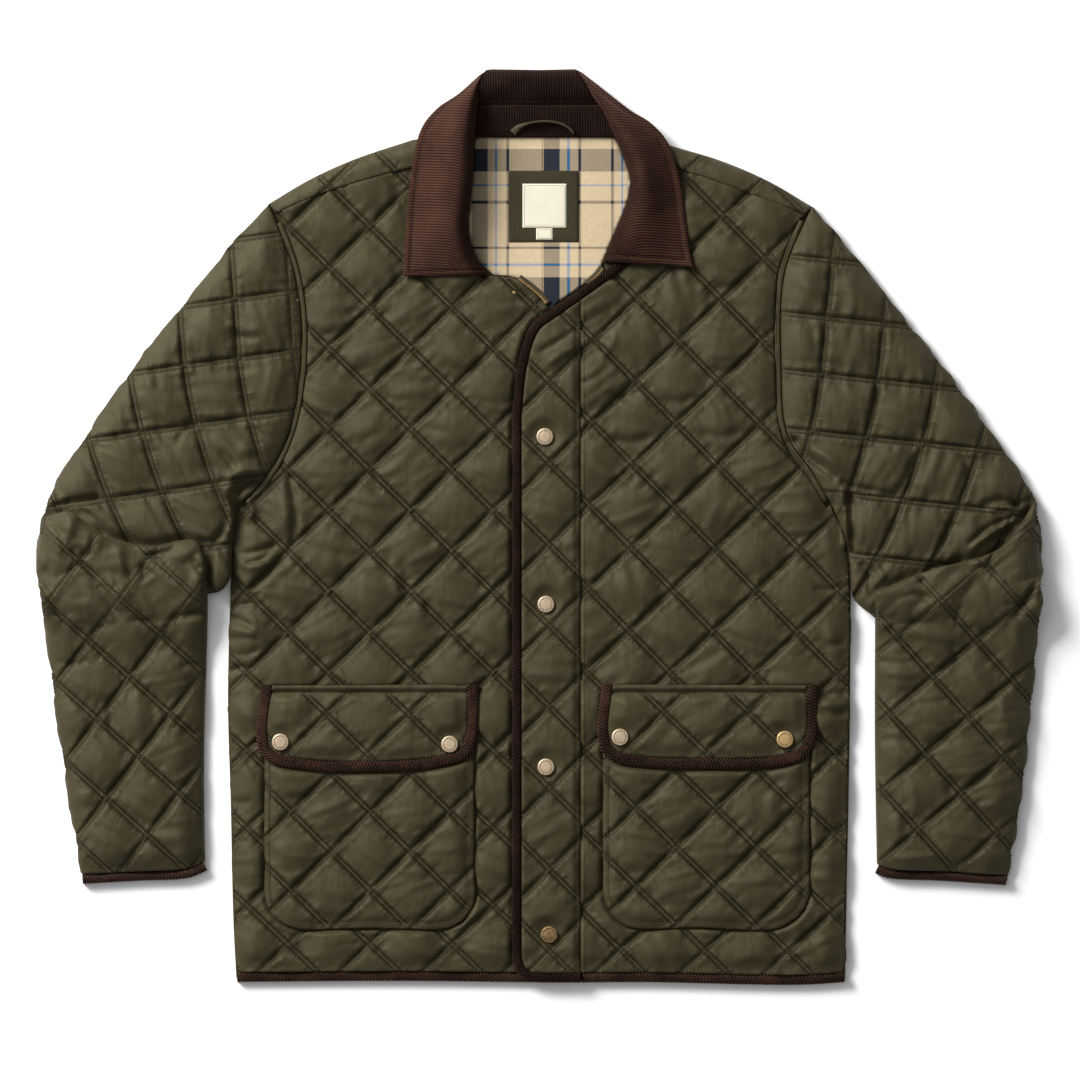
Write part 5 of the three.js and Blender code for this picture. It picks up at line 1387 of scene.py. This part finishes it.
# A darker copy of the collar corduroy for the roll and the stand behind the neck: painted shade.
shaded_corduroy = rib_cloth("brown_corduroy_painted_shade", (0.0032, 0.0016, 0.0011), (0.0235, 0.0115, 0.0082))
collar_cloth = rib_cloth("brown_corduroy", (0.0165, 0.0074, 0.0049), (0.062, 0.0275, 0.0185))


def leaf_rings(leaf, seed):
    """Sections across a leaf, a row every half millimetre or so from its point to its top."""
    marks = np.array([[row[c] for c in LEAF_COLUMNS.split()] for row in leaf], float)
    rows = curve(marks, 0.72)
    roll, edge = rows[:, :3], rows[:, 3:]
    share = np.concatenate([np.linspace(0, 0.22, 9), np.linspace(0.26, 0.9, 20), np.linspace(0.915, 1, 8)])
    width = np.linalg.norm((edge - roll)[:, :2], axis=1)[:, None]
    place = roll[:, None, :2] + (edge - roll)[:, None, :2] * share[None, :, None]
    fall = (1 + np.cos(np.pi * np.clip((share - 0.22) / 0.78, 0, 1))) / 2
    z = edge[:, 2:] + (roll - edge)[:, 2:] * fall[None, :]
    z = z - ROLL_DROP * np.clip(1 - share / 0.22, 0, 1)[None, :] ** 2
    from_edge = width * (1 - share[None, :])
    from_point = running_length(roll[:, :2])[:, None] + 0 * from_edge
    near = np.minimum(from_edge, from_point)
    x, y = place[..., 0], place[..., 1]
    z = z + 1.1 * soft_noise(x / 26, y / 30, seed) * smooth(near / 12)
    z = z - 1.3 * np.exp(-((near - 6.2) / 1.3) ** 2) - 1.6 * (1 - rounded(near, 3.2))
    z = z + 0.28 * soft_noise(from_point / 6, near / 9, seed + 1) * np.exp(-(near - 6) ** 2 / 30)
    curl = 0.010 * np.clip(np.abs(x - x[:, -1:]) - 36, 0, None) ** 2
    phase = y + 0.055 * x + curl + 0.4 * soft_noise(x / 30, y / 22, seed + 2)
    rib = wales(phase)
    top = np.dstack([x, y, z + 0.55 * (rib - 0.5)])
    # Painted shade: towards the roll the wales' colour fades to the dark valley colour; the height above keeps the
    # full rib.
    rib = rib * mix(0.3, 1, smooth((share[None, :] - 0.03) / 0.24))
    thin = LEAF_CLOTH * mix(0.35, 1, rounded(near, 3.2))
    below = np.dstack([x, y, z - thin])[:, ::-2]
    rings = np.concatenate([top, below], axis=1)
    rib = np.concatenate([rib, np.zeros(below.shape[:2])], axis=1)
    return rings, rib, (x, y, z, from_edge, from_point[:, 0])


leaf_tops = []
collar = []
for side, leaf, seed in (("right", LEAF_RIGHT, 61), ("left", LEAF_LEFT, 67)):
    rings, rib, top = leaf_rings(leaf, seed)
    leaf_tops.append(top)
    piece = lofted("collar_leaf_" + side, rings, collar_cloth, rib)
    x, y, z, from_edge, from_point = top
    edge_column = np.argmin(np.abs(from_edge - 6.2), axis=1)
    point_row = np.argmin(np.abs(from_point - 6.2))
    down = [(x[r, c], y[r, c], z[r, c] + 0.5) for r, c in enumerate(edge_column)
            if r >= point_row and abs(from_edge[r, c] - 6.2) < 1.5]
    over = [(x[point_row, c], y[point_row, c], z[point_row, c] + 0.5) for c in range(4, edge_column[point_row])]
    runs = [respaced(over + down, 1.7)]
    sewing = stitched("collar_topstitch_" + side, runs, thread_brown)
    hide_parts("collar_fall")

roll_edge = {"right": leaf_path(LEAF_RIGHT, "roll")[8:], "left": leaf_path(LEAF_LEFT, "roll")[8:]}
top_edge = np.array([(-49.5, ROLL_TOP_Y - 0.8), (-44, ROLL_TOP_Y), (0, ROLL_TOP_Y - 0.9), (33.5, ROLL_TOP_Y)])
roll_outline = respaced(np.vstack([roll_edge["right"], top_edge, roll_edge["left"][::-1], [(55, STAND_SEAM_Y)],
                                   [(-58, STAND_SEAM_Y)], roll_edge["right"][:1]]), 2)[:-1]


def roll_surface(x, y):
    z = 15 + 11 * np.sin(np.pi * np.clip((y - STAND_SEAM_Y) / 42, 0, 0.62))
    z = mix(9, z, rounded(ROLL_TOP_Y + 0.5 - y, 9))
    z = z + 1.3 * soft_noise(x / 20, y / 13, 71)
    z = z - 1.0 * np.exp(-((y - 389.5) / 1.2) ** 2)
    return z + 0.7 * (wales(x * 1.08 + 0.03 * y) - 0.5)


def upright_rib(x, y):
    return wales(x * 1.08 + 0.03 * y)


def fine_wall(name, outline, step_x, step_y, surface, low, material, rib=None):
    """A piece of cloth on an even grid, cut to its outline."""
    outline = np.array(outline)
    low_x, low_y = outline.min(axis=0) - 2 * np.array([step_x, step_y])
    high_x, high_y = outline.max(axis=0) + 2 * np.array([step_x, step_y])
    columns, rows = math.ceil((high_x - low_x) / step_x), math.ceil((high_y - low_y) / step_y)
    bm, i, j = grid_of(columns, rows)
    set_places(bm, low_x + i * step_x, low_y + j * step_y, np.zeros(len(i)))
    return walled(name, bm, outline, surface, low, material, rib=rib)


roll = fine_wall("collar_roll", roll_outline, 0.5, 1.6, roll_surface, 0.2, shaded_corduroy, rib=upright_rib)
corner_right, corner_left = leaf_path(LEAF_RIGHT, "edge")[6:], leaf_path(LEAF_LEFT, "edge")[6:]
under_outline = joined(corner_right, top_edge, corner_left[::-1], [(98, NECK_LINE_Y + 0.3), (-98, NECK_LINE_Y + 0.3)])
under = plain_slab("collar_under", under_outline, 0, BACK_CLOTH, collar_cloth)
rims = []
for side, corner, sign in (("right", corner_right, -1), ("left", corner_left, 1)):
    path = respaced(beside(corner, sign * 3.4), 0.7)
    section = half_round(9)
    rings = ring_path(path, 5.6, section, 0.1, lambda t: mix(11.5, 12.6, t))
    rib = np.repeat(wales(running_length(path))[:, None], len(section), axis=1)
    rims.append(lofted("collar_side_" + side, raised(rings, 0.3 * (rib - 0.5)), collar_cloth, rib))
for piece in [roll, under] + rims:
    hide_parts("collar_fall")


# The hanger loop: a folded twill tape, sewn into the neck seam at both ends
LOOP = [(-25, 361), (-20, 366), (-9, 370), (4.5, 371.5), (18.5, 369.5), (27, 365), (31, 361)]
tape_cloth = shell_cloth("olive_tape", (0.03132, 0.02523, 0.01479), (0.05394, 0.04437, 0.02697), crumple=0.1)
loop_path = curve(LOOP, 0.8)
loop_rings = ring_path(loop_path, lambda t: mix(6.5, 2.2, smooth(t * 3)), half_round(9),
                       lambda t: 9.6 + 1.1 + 2.2 * np.sin(np.pi * t), lambda t: mix(2, 6.0, smooth(t * 3)))
loop = lofted("hanger_tape", loop_rings, tape_cloth)
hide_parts("hanger_loop")


# The collar stand: the band of rib cloth that stands round the neck and leans back behind it
STAND_CLOTH = 3.4


def stand_height(y):
    return 9 + 6 * np.clip((y - NECK_LINE_Y) / (STAND_SEAM_Y - NECK_LINE_Y), 0, 1)


def stand_surface(x, y):
    z = stand_height(y) + 0.5 * soft_noise(x / 18, y / 14, 73)
    return z - 0.9 * np.exp(-((y - 360) / 1.1) ** 2) + 0.65 * (wales(x * 1.08 + 0.03 * y) - 0.5)


stand_outline = respaced([(-61, NECK_LINE_Y), (70, NECK_LINE_Y), (56, STAND_SEAM_Y - 0.3), (-58, STAND_SEAM_Y - 0.3),
                          (-61, NECK_LINE_Y)], 2)[:-1]
stand = fine_wall("collar_stand_back", stand_outline, 0.5, 1.6, stand_surface, FRONT_FLOOR, shaded_corduroy,
                  rib=upright_rib)
stand_sides = []
for side, leaf, sign in (("right", LEAF_RIGHT, 1), ("left", LEAF_LEFT, -1)):
    path = respaced(curve(beside(leaf_path(leaf, "roll")[:8], sign * (STAND_CLOTH / 2 + 0.4))), 0.55)
    section = half_round(9)
    rings = ring_path(path, STAND_CLOTH, section, FRONT_FLOOR,
                      lambda t: mix(8.5, 21, smooth(t * 2.2)) - 5 * smooth((t - 0.7) / 0.3))
    rib = np.repeat(wales(running_length(path))[:, None], len(section), axis=1)
    stand_sides.append(lofted("collar_stand_" + side, raised(rings, 0.3 * (rib - 0.5)), shaded_corduroy, rib))
rows = [seam_stitches([(-55, y), (55, y)], roll_surface if y > STAND_SEAM_Y else stand_surface, 1.7)
        for y in (389.6, 385.4)]
stand_sewing = stitched("collar_stand_stitches", rows, thread_brown)
for piece in [stand] + stand_sides:
    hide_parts("collar_stand")


# The zip's two top ends: a woven tape with gold-coloured metal teeth along its edge
LINING_TOP = 5.1
ZIP = {"right": [(-19, 229), (-9, 221.5), (1, 213), (8, 205)], "left": [(57, 238.5), (50, 230), (42, 223.5)]}
TOOTH = (1.0, 2.2, 1.3)
brass = bpy.data.materials.new("brushed_brass")
tree, shader = nodes_of(brass)
grain = add_node(tree, "ShaderNodeTexNoise", Scale=260.0, Detail=5.0, Roughness=0.6)
place = add_node(tree, "ShaderNodeTexCoord")
tree.links.new(place.outputs["Object"], grain.inputs["Vector"])
tone = add_node(tree, "ShaderNodeValToRGB")
tone.color_ramp.elements[0].position = 0.35
tone.color_ramp.elements[0].color = (0.47, 0.355, 0.23, 1)
tone.color_ramp.elements[1].position = 0.7
tone.color_ramp.elements[1].color = (0.58, 0.455, 0.315, 1)
tree.links.new(grain.outputs["Fac"], tone.inputs["Fac"])
# The stamped ticks are coloured dark brown.
stamp = add_node(tree, "ShaderNodeAttribute", attribute_name="tick")
dark_ticks = add_node(tree, "ShaderNodeMix", data_type="RGBA")
tree.links.new(stamp.outputs["Fac"], dark_ticks.inputs["Factor"])
tree.links.new(tone.outputs["Color"], dark_ticks.inputs["A"])
dark_ticks.inputs["B"].default_value = (0.07, 0.042, 0.022, 1)
tree.links.new(dark_ticks.outputs["Result"], shader.inputs["Base Color"])
rough = add_node(tree, "ShaderNodeMapRange")
rough.inputs["To Min"].default_value = 0.36
rough.inputs["To Max"].default_value = 0.5
tree.links.new(grain.outputs["Fac"], rough.inputs["Value"])
tree.links.new(rough.outputs["Result"], shader.inputs["Roughness"])
shader.inputs["Metallic"].default_value = 0.6
aged = brass.copy()
aged.name = "aged_brass"
aged_tone = [n for n in aged.node_tree.nodes if n.bl_idname == "ShaderNodeValToRGB"][0].color_ramp
aged_tone.elements[0].color = (0.12, 0.07, 0.03, 1)
aged_tone.elements[1].color = (0.32, 0.21, 0.095, 1)
warm = brass.copy()
warm.name = "warm_brass"
warm_tone = [n for n in warm.node_tree.nodes if n.bl_idname == "ShaderNodeValToRGB"][0].color_ramp
warm_tone.elements[0].color = (0.42, 0.27, 0.11, 1)
warm_tone.elements[1].color = (0.56, 0.38, 0.18, 1)
gold = brass.copy()
gold.name = "gold_brass"
gold_tone = [n for n in gold.node_tree.nodes if n.bl_idname == "ShaderNodeValToRGB"][0].color_ramp
gold_tone.elements[0].color = (0.34, 0.21, 0.07, 1)
gold_tone.elements[1].color = (0.62, 0.42, 0.16, 1)

zips = []
for side, marks in ZIP.items():
    path = curve(marks, 1.2)
    tape = lofted("zip_tape_cloth_" + side, ring_path(path, 5, half_round(7), LINING_TOP + 0.3, 2.0), tape_cloth)
    bm = bmesh.new()
    row = respaced(beside(path, -1.9 if side == "right" else 1.9), 1.9)
    heading = np.gradient(row, axis=0)
    for (x, y), (dx, dy) in zip(row[1:-1], heading[1:-1]):
        made = bmesh.ops.create_cube(bm, size=1.0)["verts"]
        bmesh.ops.scale(bm, vec=TOOTH, verts=made)
        edges = list({edge for vert in made for edge in vert.link_edges})
        made = bmesh.ops.bevel(bm, geom=edges, offset=0.22, affect="EDGES", segments=1, profile=0.5, material=-1)["verts"]
        turn = Vector((dx, dy, 0)).to_track_quat("X", "Z").to_matrix()
        bmesh.ops.rotate(bm, cent=(0, 0, 0), matrix=turn, verts=made)
        bmesh.ops.translate(bm, vec=(x, y, LINING_TOP + 2.6), verts=made)
    teeth = new_piece("zip_teeth_" + side, bm, gold, shade_smooth=False)
    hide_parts("zip_tape_" + side)
    zips += [tape, teeth]


# The neck lining: checked cotton twill, cream with navy, blue and brown stripes both ways
WARP = rows_of("low high colour", (-63.5, -48.8, "navy"), (-41.9, -39.8, "blue"), (-31.6, -29.2, "navy"),
               (0.9, 2.4, "brown"), (3.1, 17.5, "navy"), (24.7, 26.8, "blue"), (34.6, 37.2, "navy"),
               (64.9, 67.5, "navy"), (74.3, 76.4, "blue"))
WEFT = rows_of("low high colour", (196.0, 228.2, "navy"), (238.6, 240.8, "blue"), (254.0, 256.6, "navy"),
               (296.0, 298.4, "navy"), (311.8, 313.8, "blue"), (325.7, 345.9, "navy"))
YARN = {"cream": (0.50, 0.39, 0.245), "navy": (0.009, 0.013, 0.022), "blue": (0.026, 0.165, 0.37),
        "brown": (0.16, 0.075, 0.035)}


def stripe_ramp(tree, stripes, low, high, vector, axis):
    """The colour of one set of yarns along an axis."""
    split = add_node(tree, "ShaderNodeSeparateXYZ")
    tree.links.new(vector, split.inputs[0])
    span = add_node(tree, "ShaderNodeMapRange")
    span.inputs["From Min"].default_value = low * MM
    span.inputs["From Max"].default_value = high * MM
    tree.links.new(split.outputs[axis], span.inputs["Value"])
    ramp = add_node(tree, "ShaderNodeValToRGB")
    ramp.color_ramp.interpolation = "CONSTANT"
    ramp.color_ramp.elements[0].color = (*YARN["cream"], 1)
    ramp.color_ramp.elements.remove(ramp.color_ramp.elements[1])
    for stripe in stripes:
        start = ramp.color_ramp.elements.new((stripe["low"] - low) / (high - low))
        start.color = (*YARN[stripe["colour"]], 1)
        end = ramp.color_ramp.elements.new((stripe["high"] - low) / (high - low))
        end.color = (*YARN["cream"], 1)
    tree.links.new(span.outputs["Result"], ramp.inputs["Fac"])
    return ramp.outputs["Color"]


def check_cloth():
    material = bpy.data.materials.new("checked_twill")
    tree, shader = nodes_of(material)
    links = tree.links
    place = add_node(tree, "ShaderNodeTexCoord")
    stray = add_node(tree, "ShaderNodeTexNoise", Scale=300.0, Detail=2.0)
    links.new(place.outputs["Object"], stray.inputs["Vector"])
    warp = stripe_ramp(tree, WARP, -110, 110, place.outputs["Object"], "X")
    weft = stripe_ramp(tree, WEFT, 190, 380, place.outputs["Object"], "Y")
    turned = add_node(tree, "ShaderNodeMapping")
    turned.inputs["Rotation"].default_value = (0, 0, math.radians(45))
    links.new(place.outputs["Object"], turned.inputs["Vector"])
    twill = add_node(tree, "ShaderNodeTexWave", Scale=190.0, Distortion=0.4)
    links.new(turned.outputs["Vector"], twill.inputs["Vector"])
    share = add_node(tree, "ShaderNodeMapRange")
    share.inputs["To Min"].default_value = 0.16
    share.inputs["To Max"].default_value = 0.84
    links.new(twill.outputs["Fac"], share.inputs["Value"])
    woven = add_node(tree, "ShaderNodeMix", data_type="RGBA")
    links.new(share.outputs["Result"], woven.inputs["Factor"])
    links.new(warp, woven.inputs["A"])
    links.new(weft, woven.inputs["B"])
    soft = add_node(tree, "ShaderNodeHueSaturation")
    level = add_node(tree, "ShaderNodeMapRange")
    level.inputs["To Min"].default_value = 0.86
    level.inputs["To Max"].default_value = 1.12
    links.new(stray.outputs["Fac"], level.inputs["Value"])
    links.new(level.outputs["Result"], soft.inputs["Value"])
    links.new(woven.outputs["Result"], soft.inputs["Color"])
    links.new(soft.outputs["Color"], shader.inputs["Base Color"])
    shader.inputs["Roughness"].default_value = 0.85
    shader.inputs["Specular IOR Level"].default_value = 0.2
    shader.inputs["Sheen Weight"].default_value = 0.15
    bump = add_node(tree, "ShaderNodeBump", Strength=0.4, Distance=0.0003)
    links.new(twill.outputs["Fac"], bump.inputs["Height"])
    links.new(bump.outputs["Normal"], shader.inputs["Normal"])
    return material


def lining_surface(x, y):
    wave = 0.5 * soft_noise(x / 34, y / 40, 81) + 0.25 * soft_noise(x / 11, y / 16, 83)
    return LINING_TOP + 0.3 + wave * 0.6


lining_cloth = check_cloth()
lining_right = curve(beside(leaf_path(LEAF_RIGHT, "roll")[:7], -0.3))
lining_left = curve(beside(leaf_path(LEAF_LEFT, "roll")[:7], 0.3))
lining_outline = joined(between(lining_right, 1, 238, NECK_LINE_Y - 4), [(-59.2, NECK_LINE_Y - 1), (68, NECK_LINE_Y - 1)],
                        between(lining_left, 1, 240, NECK_LINE_Y - 4)[::-1], [(53, 231), (36, 219), (14, 204)],
                        beside(tab_edge, 1)[::-1][:-1])
lining = fine_wall("neck_lining_cloth", lining_outline, 2.5, 2.5, lining_surface, FRONT_FLOOR, lining_cloth)
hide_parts("neck_lining")


# The label: a plain cream woven rectangle on a patch of the shell, both stitched round their
# edges, with a short plain tab sewn below
label_cloth = shell_cloth("cream_label_weave", (0.59, 0.55, 0.44), (0.68, 0.635, 0.52), crumple=0.1)
thread_cream = shell_cloth("cream_thread", (0.3915, 0.3306, 0.2262), (0.522, 0.4524, 0.3306), thread=True)
PATCH_TOP = 6.9
LABEL_TOP = 7.8


def rectangle(west, south, east, north, inset=0.0):
    west, south, east, north = west + inset, south + inset, east - inset, north - inset
    return [(west, south), (east, south), (east, north), (west, north)]


def sewn_patch(name, node, box, low, high, inset, material, thread, step=1.7):
    """A flat patch with a turned edge and a row of stitches inside it."""
    def surface(x, y):
        d = np.minimum.reduce([x - box[0], box[2] - x, y - box[1], box[3] - y])
        return mix(low + 0.4, high, rounded(d + 0.2, 1.6)) - 0.3 * np.exp(-((d - inset) / 0.7) ** 2)

    outline = respaced(rectangle(*box) + [rectangle(*box)[0]], 1.5)[:-1]
    piece = fine_wall(name, outline, 1.0, 1.0, surface, low, material)
    ring = rectangle(*box, inset)
    sewing = stitched(name + "_border", [seam_stitches(ring + ring[:1], surface, step)], thread)
    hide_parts(node)
    return piece, sewing


patch_cloth = shell_cloth("olive_patch", (0.021, 0.0175, 0.008), (0.030, 0.025, 0.012), crumple=0.3)
patch, patch_border = sewn_patch("label_backing", "label_patch", (-29, 261, 35.5, 326.5), LINING_TOP + 0.2,
                                 PATCH_TOP, 2.4, patch_cloth, thread_olive)
label, label_border = sewn_patch("label_plain", "label", (-16, 274, 24.5, 314.5), PATCH_TOP - 0.3,
                                 LABEL_TOP, 1.6, label_cloth, thread_cream, 1.4)
tab, tab_border = sewn_patch("label_tab_plain", "label_tab", (-3.5, 263, 12, 273.5), PATCH_TOP - 0.3, LABEL_TOP, 1.3,
                             label_cloth, thread_cream, 1.4)


# Snap caps: pressed brass, a flat satin disc with a ring of plain stamped ticks near its rim
CAP_PROFILE = [(0, 2.6), (2.6, 2.58), (4.4, 2.5), (4.75, 2.47), (5.0, 2.3), (6.1, 2.2), (6.35, 2.35), (6.9, 2.3),
               (7.3, 2.1), (7.65, 1.6), (7.8, 0.9), (7.5, 0.0), (0, 0)]
STUD_PROFILE = [(0, 0.9), (2.2, 0.8), (3.4, 0.7), (4.2, 0.9), (4.8, 0.7), (5, 0.3), (4.9, 0.0), (0, 0)]
POST_PROFILE = [(0, 2.6), (1.2, 2.6), (2.2, 2.1), (2.4, 1.6), (2.0, 1.0), (2.0, 0.0), (0, 0)]
TICKS = 16

dark_brass = aged.copy()
dark_brass.name = "dark_brass"
dark_tone = [n for n in dark_brass.node_tree.nodes if n.bl_idname == "ShaderNodeValToRGB"][0].color_ramp
dark_tone.elements[0].color = (0.02, 0.015, 0.007, 1)
dark_tone.elements[1].color = (0.05, 0.036, 0.018, 1)


def turned_cap(name, node, profile, centre, low, material, steps=96):
    """A round cap, spun from its half profile."""
    bm = bmesh.new()
    verts = [bm.verts.new((radius, 0, up)) for radius, up in profile]
    edges = [bm.edges.new(pair) for pair in zip(verts, verts[1:])]
    bmesh.ops.spin(bm, geom=verts + edges, cent=(0, 0, 0), axis=(0, 0, 1), angle=math.tau, steps=steps, use_merge=True)
    bmesh.ops.remove_doubles(bm, verts=bm.verts, dist=0.001)
    faces_out(bm)
    tick = bm.verts.layers.float.new("tick")
    for vert in bm.verts:
        radius = math.hypot(vert.co.x, vert.co.y)
        if 4.9 < radius < 6.2 and profile is CAP_PROFILE:
            stamped = math.cos(TICKS * math.atan2(vert.co.y, vert.co.x) + 0.3) > 0.1
            vert[tick] = 1.0 if stamped else 0.0
            vert.co.z -= 0.0 if stamped else -0.2
    bmesh.ops.translate(bm, vec=(*centre, low), verts=bm.verts)
    cap = new_piece(name, bm, material)
    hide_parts(node)
    return cap


cap_metals = {"placket_4": aged, "flap_left_2": warm}
for name, centre in SNAP_PLACES.items():
    low = (PLACKET_SEAM_TOP if "placket" in name else FLAP_SEAM_TOP) + 0.9
    turned_cap("cap_" + name, "snap_" + name, CAP_PROFILE, centre, low, cap_metals.get(name, brass))
turned_cap("stud_base", "snap_stud", STUD_PROFILE, (-24.5, 213.5), 8.1, dark_brass, 48)
turned_cap("stud_post", "snap_stud", POST_PROFILE, (-24.5, 213.5), 8.6, gold, 48)
